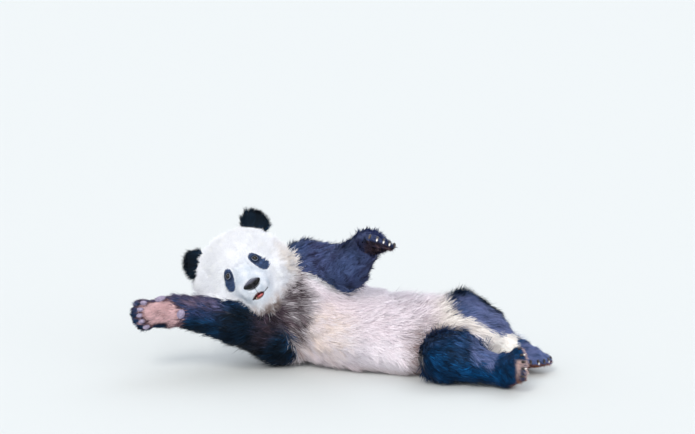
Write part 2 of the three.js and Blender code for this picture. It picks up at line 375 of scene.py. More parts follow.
# which CAD node each point of the skin belongs to
solids, owner = solid_tree(FLESH)
label = np.array([owner[solids.find_nearest(Vector(p))[2]] for p in skin.p])
part = {name: skin.soften((label == k).astype(float), 10) for k, name in enumerate(FLESH)}


def share(*names):
    """How far each point of the skin belongs to these nodes, soft at their edges."""
    return np.clip(sum(part[n] for n in names), 0, 1)


h = in_head(skin.p)
off_middle = np.abs(h[:, 0])
from_nose = np.linalg.norm(h - NOSE, axis=1)
from_eye = np.linalg.norm(np.stack([off_middle, h[:, 1], h[:, 2]], 1) - EYE, axis=1)
in_mouth = step(mouth_depth(h), 1.6, 1.1)
on_head = share("head")
on_ears = share(*EARS)
on_torso = share("trunk", "neck")
on_toes = share("forepaw_right", "forepaw_left", "hind_foot_right", "hind_foot_left")

# length of the coat in mm, longest on the trunk and shortest on the muzzle and toes
LONG = {"trunk": 46, "neck": 44, "tail": 36, "ear": 30, "upper_arm": 40, "forearm": 34, "forepaw": 18,
        "thigh": 42, "shank": 34, "hind_foot": 17}
head_long = np.interp(from_nose / mm, [0, 30, 55, 85, 120, 160, 200, 240], [3.5, 4.5, 7, 12, 19, 27, 34, 38])
head_long += 6 * step(off_middle / mm, 70, 130) * step(h[:, 1] / mm, 40, -40)         # the ruff of the cheeks
head_long = np.where(from_eye < 18 * mm, np.minimum(head_long, 5), head_long)
from_ear = np.min([np.linalg.norm(skin.p - middle(e), axis=1) for e in EARS], 0)
head_long = np.minimum(head_long, np.interp(from_ear / mm, [45, 90], [13, 40]))


def hair_over(name):
    """The length of the hair on one CAD node, in mm, at every point of the skin."""
    if name == "head":
        return head_long
    return np.full(skin.n, LONG[name.replace("_right", "").replace("_left", "")])


length = np.select([label == k for k in range(len(FLESH))], [hair_over(name) for name in FLESH]) * mm
length = skin.soften(length, 14)

# smooth away the flats of the solids, less where the shape is small
keep = np.clip(on_head * step(from_nose, 150 * mm, 100 * mm) + on_ears * 0.93 + on_toes * 0.9, 0, 0.93)
outer = skin.p.copy()
skin.p = skin.soften(skin.p, 44, 0.5 * (1 - keep))
skin.p = skin.soften(skin.p, 6, 0.5 * (1 - 0.6 * on_ears))

# sink it by the coat's depth, less on top of the stretched foreleg, more on the flank and the raised paw
SINKS = 5                                        # in as many small steps, each smoothed after it
depth = length * 0.30 + 7 * mm * on_head * step(h[:, 0], 60 * mm, 110 * mm) * step(h[:, 1], 30 * mm, -30 * mm)
depth *= 1 - in_mouth
skin_up = step(skin.normals()[:, 2], 0.2, 0.8)
along_flank = step(skin.p[:, 0], 110 * mm, 170 * mm) * step(skin.p[:, 0], 520 * mm, 460 * mm)
depth *= 1 - 0.8 * share("forearm_right", "upper_arm_right") * skin_up
depth += 9 * mm * share("forepaw_left") * skin_up
depth += mm * (9 * share("trunk") + 6 * share("thigh_left")) * skin_up * along_flank
depth = np.where(on_ears > 0.5, np.minimum(depth, 3 * mm), depth)
depth *= 1 - 0.5 * share("hind_foot_right", "hind_foot_left")
for _ in range(SINKS):
    skin.p -= skin.normals() * (depth / SINKS)[:, None]
    skin.p = skin.soften(skin.p, 2, 0.35)
skin.p[:, 2] = np.maximum(skin.p[:, 2], 1.5 * mm)

# the ears' cores: drawn in towards the skull, stretched along the edge and nudged, so the hair makes the fan
EAR_CORES = (("ear_left", 0.18, 0.16, (7, 0, -4)), ("ear_right", 0.15, 0.36, (3, 0, 0)))
for ear, shrink, stretch, nudge in EAR_CORES:
    root = middle(ear) + 0.42 * (EAR_FOOT - middle(ear))
    outward = unit(middle(ear) - root)
    tangent = unit(np.cross(HEAD[2], outward))
    drawn = step(part[ear], 0.15, 0.85)[:, None]
    skin.p += (root - skin.p) * drawn * shrink
    skin.p += (tangent * ((skin.p - middle(ear)) @ tangent)[:, None] * stretch + np.array(nudge) * mm) * drawn

# the hide stands back where the eyeball shows
for which, sign in (("left", 1), ("right", -1)):
    look = gaze_of(sign)
    q = skin.p - eye_at[which]
    forward = q @ look
    aside = np.linalg.norm(q - forward[:, None] * look, axis=1)
    socket = np.maximum(forward + 1 * mm, 0) * step(aside, 12.5 * mm, 9.5 * mm)
    back = np.where((aside < 15 * mm) & (forward > -12 * mm), socket, 0)
    skin.p -= back[:, None] * look

# the open mouth
h = in_head(skin.p)
gape = step(mouth_depth(h), 1.02, 0.80)
skin.p -= HEAD[2] * (gape * 15 * mm)[:, None]

# its closed corners: the right one, drawn down by the lean, gapes more
line = h[:, 1] - MOUTH[1] - mouth_rise(h[:, 0] - MOUTH[0])
line_wide = np.where(h[:, 0] < 0, 4.6, 2.0) * mm
mouth_end = np.where(h[:, 0] < 0, 30, 38) * mm
within = step(np.abs(h[:, 0]) - mouth_end, 2 * mm, -7 * mm)
corner_line = np.exp(-(line / line_wide) ** 2) * within * (h[:, 2] > FACE_FRONT)
skin.p -= HEAD[2] * (corner_line * (1 - gape) * 3 * mm)[:, None]

# the furrow from the nose down to the upper lip
groove = np.exp(-(h[:, 0] / (1.6 * mm)) ** 2) * step(h[:, 1], NOSE[1] - 8 * mm, NOSE[1] - 14 * mm)
groove = groove * step(h[:, 1], MOUTH[1] + 4 * mm, MOUTH[1] + 9 * mm) * (h[:, 2] > FACE_FRONT)
skin.p -= HEAD[2] * (groove * 2.0 * mm)[:, None]
h_closed, h = h, in_head(skin.p)
normal = skin.normals()

# ---------------------------------------------------------------- lie of the coat

mid = {name: middle(name) for name in FLESH}
tail_way = unit(mid["tail"] - mid["trunk"])
flow = np.zeros_like(skin.p)
for k, name in enumerate(FLESH):
    here = label == k
    p = skin.p[here]
    if name == "head":
        way = unit(p - nose_at) + 0.25 * unit(p - head_origin)
    elif name in EARS:
        way = unit(p - (mid[name] + 0.8 * (EAR_FOOT - mid[name])))
    elif name == "neck":
        way = np.broadcast_to(unit(mid["trunk"] - mid["head"] + np.array([0, 0, 0.02])), p.shape)
    elif name == "trunk":
        way = np.broadcast_to(unit(mid["tail"] - mid["neck"]) + np.array([0, 0, -0.12]), p.shape)
    elif name == "tail":
        way = np.broadcast_to(tail_way, p.shape)
    else:                                        # down the leg, towards the toes
        chain = next(c for c in LEGS if name in c)
        i = chain.index(name)
        way = np.broadcast_to(unit(mid[chain[min(i + 1, 2)]] - mid[chain[min(i, 1)]]), p.shape)
    flow[here] = way
flow = skin.soften(flow, 40, 0.6)
for eye in eye_at.values():                      # the short hair parts round each eye
    away = skin.p - eye
    near_eye = step(np.linalg.norm(away, axis=1), 34 * mm, 15 * mm)
    flow = blend(flow, unit(away - normal * (away * normal).sum(1, keepdims=True)), near_eye)
flow += 0.20 * np.stack([waves(skin.p, 0.12, seed) for seed in (5, 6, 7)], 1)
flow = unit(flow - normal * (flow * normal).sum(1, keepdims=True))


# ---------------------------------------------------------------- markings: fields from 0 to 1 over the skin

X, Y, Z = skin.p.T
to_back, to_sky = normal[:, 1], normal[:, 2]     # how far the skin faces the animal's back, and the sky
ventral = step(to_back, 0.35, -0.35)
right_foreleg, left_foreleg = share(*FORELEGS["right"]), share(*FORELEGS["left"])
right_hindleg, left_hindleg = share(*HINDLEGS["right"]), share(*HINDLEGS["left"])

PATCH_MIDDLE = np.array([55.0, -16.4]) * mm
PATCH_LEAN = math.radians(23)
PATCH_HALF_LONG = 37 * mm
BLUNT = 2.7                                      # 2 would be an oval, more is squarer


def patch_at(h):
    """The dark mark round each eye: a leaning oval with blunt ends, a little wider below."""
    du, dv = np.abs(h[:, 0]) - PATCH_MIDDLE[0], h[:, 1] - PATCH_MIDDLE[1]
    along = dv * math.cos(PATCH_LEAN) - du * math.sin(PATCH_LEAN)
    off = dv * math.sin(PATCH_LEAN) + du * math.cos(PATCH_LEAN)
    wide = (15.8 - 2.0 * along / (40 * mm)) * mm
    reach = (np.abs(along / PATCH_HALF_LONG) ** BLUNT + np.abs(off / wide) ** BLUNT) ** (1 / BLUNT)
    return step(reach, 1.10, 0.92) * step(h[:, 2], 20 * mm, 50 * mm)


eye_patch = patch_at(h) * on_head

# the raised foreleg is black down to a line over the chest, the stretched one up to the side of the neck
arm_line = np.interp(X / mm, [-100, -54, -12, 20], [316, 296, 262, 0]) * mm
left_arm = left_foreleg * np.where(to_back < 0.3, step(Z - arm_line, -16 * mm, 10 * mm), 1)
left_arm = np.maximum(left_arm, step(Z - arm_line, -10 * mm, 14 * mm) * on_torso * step(X, -0.02, -0.05))
right_arm = right_foreleg * step(X, -122 * mm, -160 * mm)
right_arm = np.maximum(right_arm, on_torso * step(X, -140 * mm, -175 * mm) * step(Z, 165 * mm, 120 * mm))

# the band over the withers that joins the two shoulders
WITHERS = np.array([-0.125, 0.262, 0.205])
BEHIND_SHOULDER = [0, 0.05, 0]
saddle_line = [mid["upper_arm_right"] + BEHIND_SHOULDER, WITHERS, mid["upper_arm_left"] + BEHIND_SHOULDER]


def from_line(p, corners):
    """How far points lie from a line of straight stretches."""
    best = np.full(len(p), 9.0)
    for s, e in zip(corners[:-1], corners[1:]):
        t = np.clip(((p - s) @ (e - s)) / ((e - s) @ (e - s)), 0, 1)
        best = np.minimum(best, np.linalg.norm(p - (s + t[:, None] * (e - s)), axis=1))
    return best


saddle = step(from_line(skin.p, saddle_line), 0.118, 0.088) * step(to_back, -0.25, 0.15)
saddle = saddle * share("trunk", "neck", *FORELEGS["left"], *FORELEGS["right"])

# hind legs: the near one black from the groin on, the far one above a line that falls towards the foot
near_leg = right_hindleg * step(X, 236 * mm, 268 * mm)
far_line = np.interp(X / mm, [290, 304, 321, 363, 438, 484, 548, 575],
                     [250, 222, 206, 176, 154, 130, 112, -50]) * mm
far_front = step(Z - far_line, -8 * mm, 12 * mm) * step(X, 290 * mm, 326 * mm)
far_behind = step(X, 282 * mm, 330 * mm)
far_leg = share("trunk", *HINDLEGS["left"]) * np.where(to_back < 0.25, far_front, far_behind)
far_leg *= np.maximum(left_hindleg, step(Y, 0.21, 0.14) * step(X, 0.28, 0.31))
black = np.maximum.reduce([on_ears, eye_patch, left_arm, right_arm, saddle, near_leg, far_leg])
black = np.clip(black, 0, 1)

# brown fringes where black meets white
fringe = step(skin.soften(black * (1 - eye_patch), 26, 0.6), 0.02, 0.42) * (1 - on_ears) * (1 - on_head)
fringe *= 1 - 0.9 * step(X, 350 * mm, 400 * mm) * ventral

# the brown chest, and painted shade in the hollow of the throat under the head
throat = middle("head") + np.array([0.0, -0.02, -0.110])
from_throat = np.linalg.norm(skin.p - throat, axis=1)
on_chest = share("neck", "trunk", "upper_arm_right")
chest = on_chest * step(from_throat + 14 * mm * waves(skin.p, 0.05, 21), 238 * mm, 176 * mm)
chest *= step(to_back, 0.45, 0.0)
throat_shade = on_chest * step(from_throat, 165 * mm, 120 * mm) * ventral * step(X, -290 * mm, -225 * mm)

# in the white: dust along the floor, a tanned chin with painted shade under it, a beige belly, a cream left
# cheek, a warm cream groin painted brighter as painted light, and a brown inner thigh
floor_dust = share("trunk") * step(Z, 55 * mm, 8 * mm)
chin = on_head * step(h[:, 1], -108 * mm, -146 * mm) * step(h[:, 2], 120 * mm, 70 * mm)
# painted shade under the chin, in a dark brown
under_chin = on_head * step(h[:, 1], -133 * mm, -156 * mm)
beige = share("trunk") * ventral * step(np.hypot(X + 70 * mm, Z - 140 * mm), 130 * mm, 40 * mm)
cheek_cream = on_head * step(h[:, 0], 80 * mm, 130 * mm) * step(h[:, 1], 30 * mm, -60 * mm)
# the groin painted brighter than the belly, as painted light against its shade
lit_groin = share("trunk", *HINDLEGS["left"]) * step(X, 0.24, 0.32) * ventral
inner_thigh = step(X, 168 * mm, 232 * mm) * step(X, 330 * mm, 290 * mm) * step(Z, 190 * mm, 130 * mm)
thigh_brown = share("trunk", "thigh_right", "shank_right") * inner_thigh * step(Y, 60 * mm, 0 * mm)

# in the black: painted shade where it faces the animal's back, a painted grey sheen on top of the near knee,
# and worn violet-brown with painted sky sheen on top of the stretched wrist
back_shade = step(to_back, 0.0, 0.7) * (1 - 0.8 * share("forepaw_left"))
knee_sheen = share("shank_right", "thigh_right") * step(X, 375 * mm, 420 * mm) * step(X, 505 * mm, 465 * mm)
knee_sheen = knee_sheen * step(to_sky, 0.15, 0.75)
wrist_top = share("forearm_right", "forepaw_right", "upper_arm_right") * step(X, -330 * mm, -430 * mm)
wrist_top = wrist_top * step(to_sky, 0.0, 0.7)

# palms: short pinkish hair between the pads, on the side that each palm faces
palm_way = {"right": np.array([0, -1, 0.12]), "left": np.array([-0.3, -0.28, -0.9])}
sole_way = {"right": np.array([0.9, 0.4, -0.15]), "left": np.array([0.05, -0.1, -1.0])}
palm_edge = {"right": (0.38, 0.86), "left": (0.45, 1.5)}
palm = sum(share(f"forepaw_{s}") * step(normal @ unit(palm_way[s]), *palm_edge[s]) for s in palm_way)
paw_way = unit(mid["forepaw_right"] - mid["forearm_right"])
toe_pads = np.array([middle(n) for n in PADS[:5]])
to_pads = np.linalg.norm(skin.p[:, None] - toe_pads[None], axis=2)
past_pad = ((skin.p - toe_pads[to_pads.argmin(1)]) @ paw_way) * share("forepaw_right")
palm *= 1 - 0.95 * step(past_pad, 1 * mm, 8 * mm)                  # black toe ends
# painted shade in the clefts between the toes, where the palm gives way to dark hair
cleft_shade = step(past_pad, -22 * mm, -10 * mm) * step(to_pads.min(1), 10 * mm, 14 * mm) * share("forepaw_right")
palm *= 1 - 0.6 * cleft_shade                                           # dark clefts between the toes
palm *= 1 - 0.30 * step(past_pad, -42 * mm, -16 * mm)

# the heel of the stretched palm: dark above, pink round the wrist pad and in a tuft below it, with a
# black lower edge
on_wrist = share("forearm_right", "forepaw_right")
above_heel = (X + 569 * mm) * 0.63 + (Z - 267 * mm) * 0.78
heel_dark = step(above_heel, 8 * mm, 24 * mm)
wrist = on_wrist * step(np.linalg.norm(skin.p - middle("wrist_pad"), axis=1), 46 * mm, 22 * mm)
heel_tuft = on_wrist * step(np.hypot(X + 512 * mm, Z - 172 * mm), 40 * mm, 14 * mm)
edge_below = np.interp(X / mm, [-640, -596, -580, -540], [142, 150, 178, 182]) * mm
palm *= 1 - 0.9 * on_wrist * step(Z - edge_below, 6 * mm, -8 * mm)
heel = np.maximum(wrist * (1 - 0.6 * heel_dark), 0.85 * heel_tuft) * step(to_back, -0.2, -0.6)
palm = np.maximum(palm * (1 - 0.75 * heel_dark * on_wrist), heel)

# soles: rust and dust, on the side that each sole faces and round the near foot's edge
sole = sum(share(f"hind_foot_{s}") * step(normal @ unit(sole_way[s]), -0.28, 0.3) for s in sole_way)
foot_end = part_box("hind_foot_right")[1][0]
sole_edge = share("hind_foot_right") * step(X, foot_end - 46 * mm, foot_end - 28 * mm) * step(Y, -0.29, -0.26)
sole = np.maximum(sole, sole_edge * step(Z, 118 * mm, 100 * mm))

# the black's casts: deepest on the stretched foreleg, blue on the hind legs, violet on the raised foreleg
# and, as painted sky sheen, on top of the stretched wrist; painted sky sheen also lightens it where it faces
# up, on the raised foreleg's front and round its elbow, and keeps the stretched foreleg less deep on top
deep = right_foreleg * step(X, -430 * mm, -340 * mm) * (1 - 0.4 * step(to_sky, 0.2, 0.9))
arm = left_foreleg + 0.7 * on_wrist * step(to_sky, -0.2, 0.5)
hind = share(*HINDLEGS["right"], *HINDLEGS["left"])
left_elbow = mid["forearm_left"] + [-0.045, -0.02, -0.06]
from_elbow = np.linalg.norm(skin.p - left_elbow, axis=1)
skylit = np.maximum.reduce([
    step(to_sky, 0.1, 0.85) * left_foreleg * 0.9,
    left_foreleg * step(to_back, 0.0, -0.8) * 0.6,
    0.45 * step(to_sky, 0.3, 0.9) * share("forearm_right", *HINDLEGS["right"]),
    1.6 * step(to_sky, 0.1, 0.7) * share("forepaw_left", "hind_foot_left"),
    0.9 * left_foreleg * step(from_elbow, 120 * mm, 50 * mm)])
# painted sheen on the far thigh where it faces the front, and where the raised forepaw and far foot face up,
# over a faded violet-grey on the raised foreleg
far_thigh = share(*HINDLEGS["left"], "trunk") * step(X, 300 * mm, 380 * mm) * step(X, 560 * mm, 520 * mm)
faded_and_sheen = np.maximum.reduce([
    far_thigh * step(to_back, 0.3, -0.3),
    0.9 * step(to_sky, 0.0, 0.7) * share("forepaw_left", "hind_foot_left"),
    0.35 * share("upper_arm_left", "forearm_left")])

# painted bluish-grey shade on the muzzle, and the painted shade of a furrow between the brows
muzzle_shade = on_head * step(from_nose, 100 * mm, 55 * mm)
furrow_shape = np.exp(-((h[:, 1] - 5 * mm) / (3.5 * mm)) ** 2 - ((h[:, 0] + 4 * mm) / (17 * mm)) ** 2)
furrow = on_head * 0.55 * furrow_shape * step(h[:, 2], 0.03, 0.06)

fields = {
    "trunk": on_torso, "on_head": on_head, "ear": on_ears, "ventral": ventral, "black": black,
    "beige": beige, "cheek_cream": cheek_cream, "lit_groin": lit_groin, "muzzle": muzzle_shade, "furrow": furrow,
    "floor_dust": floor_dust, "chin": chin, "under_chin": under_chin, "fringe": fringe,
    "thigh_brown": thigh_brown, "chest": chest, "throat_shade": throat_shade, "eye_patch": eye_patch,
    "arm": arm, "hind": hind, "skylit": skylit, "faded_and_sheen": faded_and_sheen, "deep": deep, "back_shade": back_shade,
    "knee_sheen": knee_sheen, "wrist_top": wrist_top, "palm": palm, "sole": sole, "stray": np.zeros(skin.n)}

# ---------------------------------------------------------------- colours of the coat

WHITE = tone("#f2f4fa")
BELLY = tone("#f3edf4")
PINK = tone("#e2d4dc")
BEIGE = tone("#e9d9cf")
CREAM = tone("#f2e6da")
LIT_CREAM = tone("#fffaf4")
MUZZLE_SHADE = tone("#cdd6e2")
GREY = tone("#aeb4c4")
TAN = tone("#cbb2a6")
CHIN_SHADE = tone("#76645f")
BROWN = tone("#6b5048")
UMBER = tone("#33262c")
THROAT_SHADE = tone("#40343d")
BLACK = tone("#061622")
INK = tone("#0a0f18")
TEAL = tone("#033a66")
VIOLET = tone("#3a3862")
SKYLIT = tone("#46669c")
FADED_AND_SHEEN = tone("#7480b0")
WRIST_BROWN = tone("#6a5a6c")
PATCH = tone("#36486a")
LID_HAIR = tone("#1a2436")
PALM = tone("#edc7cb")
PALM_EDGE = tone("#563f45")
PALM_SHADE = tone("#a17a7a")
RUST = tone("#8a5334")
DUST = tone("#f0cfc6")
MOUTH_RED = tone("#8c3b40")
LIP = tone("#1d1a20")
LIP_FLESH = tone("#6b4a50")


def coat_colour(p, f):
    """Colour of the coat at points p. f holds the marking fields there, and `stray`, each lock's own bent."""
    coarse, fine, odd = waves(p, 0.13, 11), waves(p, 0.028, 12), f["stray"]

    # white hair, what stains it, and painted light and shade on it
    c = np.broadcast_to(WHITE, p.shape).copy()
    c = blend(c, BELLY, f["trunk"])
    c = wash(c, PINK, f["trunk"] * f["ventral"] * (0.38 + 0.32 * coarse + 2 * odd), 0.9)
    c = wash(c, BEIGE, f["beige"] * (0.5 + 0.3 * fine + 2 * odd), 0.8)
    c = wash(c, CREAM, f["cheek_cream"] * (0.75 + 0.3 * fine + odd))
    c = wash(c, LIT_CREAM, f["lit_groin"] * 0.85)
    c = wash(c, MUZZLE_SHADE, f["muzzle"] * (0.75 + 0.3 * fine))
    c = wash(c, GREY, f["furrow"])
    c = wash(c, TAN, f["floor_dust"] * (0.3 + 2 * odd) + f["chin"] * (0.55 + 0.2 * fine + 3 * odd), 0.9)
    c = wash(c, CHIN_SHADE, f["under_chin"] * (0.6 + 0.15 * fine + 4 * odd), 0.9)
    c = wash(c, BROWN, f["fringe"] * (0.42 + 0.1 * fine + 3 * odd), 0.85)
    c = wash(c, BROWN, f["thigh_brown"] * (0.62 + 0.15 * fine + 2.5 * odd), 0.9)
    c = wash(c, UMBER, f["chest"] * (0.90 + 0.10 * fine + 2.6 * odd), 0.95)
    c = wash(c, THROAT_SHADE, f["throat_shade"] * (0.85 + 0.15 * fine + 2 * odd), 0.95)

    # black hair, from ink to slate blue and worn brown, with painted sky sheen and painted shade
    dark = np.broadcast_to(BLACK, p.shape)
    dark = wash(dark, TEAL, 0.42 + 0.35 * coarse + f["hind"] * 0.45)
    dark = wash(dark, VIOLET, f["arm"] * (0.55 - 0.5 * coarse + 0.2 * fine), 0.85)
    dark = wash(dark, SKYLIT, f["skylit"] * (0.42 + 0.25 * fine + 2.5 * odd), 0.8)
    dark = wash(dark, FADED_AND_SHEEN, f["faded_and_sheen"] * (0.78 + 0.2 * fine + 3 * odd), 0.9)
    dark = wash(dark, BLACK, f["ear"] * 0.95 + f["deep"] * (0.75 + 0.3 * coarse))
    # painted shade where the black faces the animal's back
    dark = blend(dark, INK, f["back_shade"] * 0.72)
    dark = wash(dark, FADED_AND_SHEEN, f["knee_sheen"] * (0.62 + 0.2 * fine + 3 * odd), 0.85)
    dark = wash(dark, THROAT_SHADE, f["throat_shade"] * (0.8 + 0.2 * fine + 3 * odd), 0.9)
    dark = wash(dark, WRIST_BROWN, f["wrist_top"] * (0.55 + 0.25 * fine + 3 * odd), 0.85)
    dark = blend(dark, PATCH, f["eye_patch"])
    ragged = (0.14 * fine + 0.7 * odd) * (1 - 0.9 * f["on_head"])
    c = blend(c, dark, step(f["black"] + ragged, 0.42, 0.60))

    # palms and soles
    on_palm = step(f["palm"], 0.02, 0.12)
    c = blend(c, PALM_EDGE, step(f["palm"] + 1.5 * odd, 0.12, 0.40) * 0.9 * on_palm)
    c = blend(c, PALM, step(f["palm"] + 2.0 * odd + 0.1 * fine, 0.5, 0.95) * 0.92 * on_palm)
    c = wash(c, PALM_SHADE, f["palm"] * (0.10 + 0.30 * waves(p, 0.020, 13) + 3 * odd), 0.6)
    sole_tone = blend(np.broadcast_to(RUST, p.shape), DUST, step(p[:, 2], 40 * mm, 85 * mm))
    return wash(c, sole_tone, step(f["sole"], 0.05, 0.6) * (0.88 + 3 * odd + 0.2 * fine), 0.96)


# the hide takes the coat's colour, but for a red mouth, a flesh rim and dark lips
upper = step(h_closed[:, 1] - MOUTH[1], 0, 6 * mm)
rim = step(np.abs(mouth_depth(h_closed) - 1.03), 0.16 - 0.08 * upper, 0.08 - 0.05 * upper) * on_head
lips = np.maximum(step(corner_line, 0.3, 0.6), 0.6 * step(groove, 0.3, 0.7))
skin_colour = coat_colour(skin.p, fields) * 0.92
skin_colour = blend(skin_colour, MOUTH_RED, step(mouth_depth(h_closed), 1.0, 0.9) * on_head)
skin_colour = blend(skin_colour, LIP_FLESH, rim)
skin_colour = blend(skin_colour, LIP, lips * on_head)
paint(skin_mesh, skin_colour)
skin_mesh.shade_smooth()

# ---------------------------------------------------------------- materials of skin and coat


def painted_hair(name, scale, detail, darker, lighter):
    """A finish in the painted colour of the coat, shaded strand by strand between darker and lighter."""
    made, tree, shader = material(name)
    place = add(tree, "ShaderNodeTexCoord")
    painted = add(tree, "ShaderNodeAttribute", attribute_name="coat")
    strands = add(tree, "ShaderNodeTexNoise", {
        "Vector": place.outputs["Object"], "Scale": scale, "Detail": detail})
    shade = add(tree, "ShaderNodeMapRange", {
        "Value": strands.outputs["Fac"], "From Min": 0.3, "From Max": 0.7,
        "To Min": darker, "To Max": lighter})
    tint = add(tree, "ShaderNodeVectorMath", {0: painted.outputs["Color"], 3: shade.outputs["Result"]},
               operation="SCALE")
    feed(shader, {"Base Color": tint.outputs[0]})
    return made, tree, shader, strands


# undercoat and hide: dull, broken up by wisps of matted hair a few hairs wide
hide_mat, tree, shader, strands = painted_hair("hide_with_underfur", every(2.4 * mm), 3.0, 0.8, 1.08)
bump = add(tree, "ShaderNodeBump", {"Height": strands.outputs["Fac"], "Strength": 0.5, "Distance": 2 * mm})
feed(shader, {"Normal": bump.outputs["Normal"], "Roughness": 0.8})

# guard hair: each lock its own shade, a soft sheen along the lie, no hard highlights
hair_mat, _, shader, _ = painted_hair("guard_hair", every(3.8 * mm), 2.0, 0.9, 1.07)
feed(shader, {"Roughness": 0.62, "Specular IOR Level": 0.12, "Sheen Weight": 0.03, "Sheen Roughness": 0.5})

put("skin", skin_mesh, hide_mat, FLESH)

# ---------------------------------------------------------------- coat

# the skin's triangles, where the tufts take root
skin_mesh.calc_loop_triangles()
tri = np.empty(len(skin_mesh.loop_triangles) * 3, np.int32)
skin_mesh.loop_triangles.foreach_get("vertices", tri)
tri = tri.reshape(-1, 3)
corner = skin.p[tri]
tri_area = np.linalg.norm(np.cross(corner[:, 1] - corner[:, 0], corner[:, 2] - corner[:, 0]), axis=1) / 2
tri_mid = corner.mean(1)
tri_label = label[tri[:, 0]]

# no hair on the pads, nose, lips and eyes
bald, _ = solid_tree(["nose"] + PADS)
from_bald = np.array([bald.find_nearest(Vector(p), 0.02)[3] or 0.02 for p in outer])
bare = np.maximum.reduce([
    step(mouth_depth(h_closed), 1.20 - 0.12 * upper, 1.12 - 0.12 * upper),
    step(corner_line, 0.35, 0.6),
    step(groove, 0.5, 0.8),
    step(from_eye, 12.4 * mm, 11.2 * mm),
    step(from_bald, 3.0 * mm, 1.5 * mm)])
grow_here = (1 - bare)[tri].mean(1) > 0.5

# the hair stands up along the hip's crest and in the ruff of the cheeks
crest = step(X, 120 * mm, 175 * mm) * step(X, 430 * mm, 370 * mm) * step(to_sky, 0.3, 0.8)
crest = crest * share("trunk", "thigh_left")
ruff = on_head * step(from_nose, 120 * mm, 180 * mm) * step(h[:, 1], 20 * mm, -30 * mm)
stand = 1 + 0.9 * ruff + 1.3 * crest
hidden = step(Z, 30 * mm, 8 * mm) * step(to_sky, -0.5, -0.9)       # pressed on the floor: a thin coat does
field_names = list(fields)
field_table = np.stack([fields[n] for n in field_names], 1)

# Each tuft stands for a lock of many hairs, so it is coarser than real hair.
SECTIONS = {1: [0.0, 1.0], 2: [0.0, 0.46, 1.0]}      # how far along a tuft its corners lie, root to tip
ROUNDED = 0.45                                       # how far the shading of a tuft's sides turns outwards


def blade_faces(rings):
    """Corner numbers of one tuft: three sides, closed at its root, drawn to a point."""
    faces = [(0, 1, 2)]
    for r in range(rings - 1):
        l, q, k = 3 * r, 3 * r + 1, 3 * r + 2
        L, Q, K = l + 3, q + 3, k + 3
        faces += [(l, L, Q), (l, Q, q), (q, Q, K), (q, K, k), (k, K, L), (k, L, l)]
    l, q, k = 3 * (rings - 1), 3 * (rings - 1) + 1, 3 * (rings - 1) + 2
    t = 3 * rings
    faces += [(l, t, q), (q, t, k), (k, t, l)]
    return np.array(faces)


def grow_coat(name, chosen, count, rings, width, lift, clump=0.022, gather=0.4):
    """One closed mesh of tufts over the chosen triangles of the skin: their width in mm and lift in degrees,
    the size of the clumps they gather in, and how far their tips lean together."""
    count = int(count * THIN)
    picked = np.flatnonzero(chosen & grow_here)
    hair_here = np.clip(length[tri[picked]].mean(1), 0.008, 0.05)      # short hair stands closer
    weight = tri_area[picked] * (1 - 0.8 * hidden[tri[picked]].mean(1)) * (0.014 / hair_here) ** 0.55
    total = np.cumsum(weight)
    where = (np.arange(count) + draw.uniform(0, 1, count)) / count * total[-1]
    t = picked[np.searchsorted(total, where)]
    u, v = draw.uniform(0, 1, (2, count))
    flip = u + v > 1
    u[flip], v[flip] = 1 - u[flip], 1 - v[flip]
    w = np.stack([1 - u - v, u, v], 1)

    def at(values):
        """Values of the skin's points, at the roots."""
        return np.einsum("ij,ij...->i...", w, values[tri[t]])

    p, n, way, span = at(skin.p), unit(at(normal)), at(flow), at(length)
    way = unit(way - n * (way * n).sum(1, keepdims=True))
    right = np.cross(way, n)
    f = dict(zip(field_names, at(field_table).T))

    # locks: neighbours lean their tips together
    centres = p[draw.permutation(count)[:max(8, int(tri_area[picked].sum() / clump ** 2))]]
    near = KDTree(len(centres))
    for i, c in enumerate(centres):
        near.insert(c, i)
    near.balance()
    lock = np.array([near.find(q)[1] for q in p])
    toward = centres[lock] - p
    toward -= n * (toward * n).sum(1, keepdims=True)
    lock_turn = draw.normal(0, 1, (len(centres), 3))[lock]
    f["stray"] = draw.normal(0, 0.05, count) + 0.05 * lock_turn[:, 0]

    # each tuft's own length, rise, turn, bend and width
    span = span * draw.uniform(0.72, 1.16, count) * (1 + 0.10 * lock_turn[:, 2]) * (1 + 0.15 * at(crest))
    loose = draw.uniform(0, 1, count) < 0.08          # guard hairs that stand a little out of the coat
    rise = np.radians(lift) * at(stand) * draw.uniform(0.55, 1.5, count)
    rise = np.minimum(rise * (1 + 0.22 * lock_turn[:, 1]) * (1 + 0.9 * loose), 1.1)
    turn = 0.16 * lock_turn[:, 0] + draw.normal(0, 0.10, count)
    heading = unit(way * np.cos(turn)[:, None] + right * np.sin(turn)[:, None])
    bend = draw.normal(0, 0.10, count)
    wide = width * mm * draw.uniform(0.7, 1.3, count) * (1 - 0.35 * loose)

    # the eye patches keep a clean edge: a tuft is dark or not by where its middle lies
    mid_hair = patch_at(in_head(p + heading * (0.55 * span)[:, None])) * step(f["on_head"], 0.4, 0.6)
    f["black"] = np.where(np.maximum(f["eye_patch"], mid_hair) > 0.01, mid_hair, f["black"])
    f["eye_patch"] = np.where(mid_hair > 0.01, 1.0, 0.0)

    # dark tufts differ more from one another than white ones
    colour = coat_colour(p, f)
    shade_tuft = draw.uniform(0.92, 1.06, count) * (1 + 0.03 * lock_turn[:, 2])
    darkness = 1 - step(colour.mean(1), 0.03, 0.2)
    lit = 1 + darkness * (np.exp(draw.normal(0.0, 0.42, count) + 0.25 * lock_turn[:, 2]) - 1)
    blades(name, rings, p, n, heading, span, rise, bend, wide, colour * (shade_tuft * lit)[:, None],
           toward * gather, unwrap(picked, t, w))


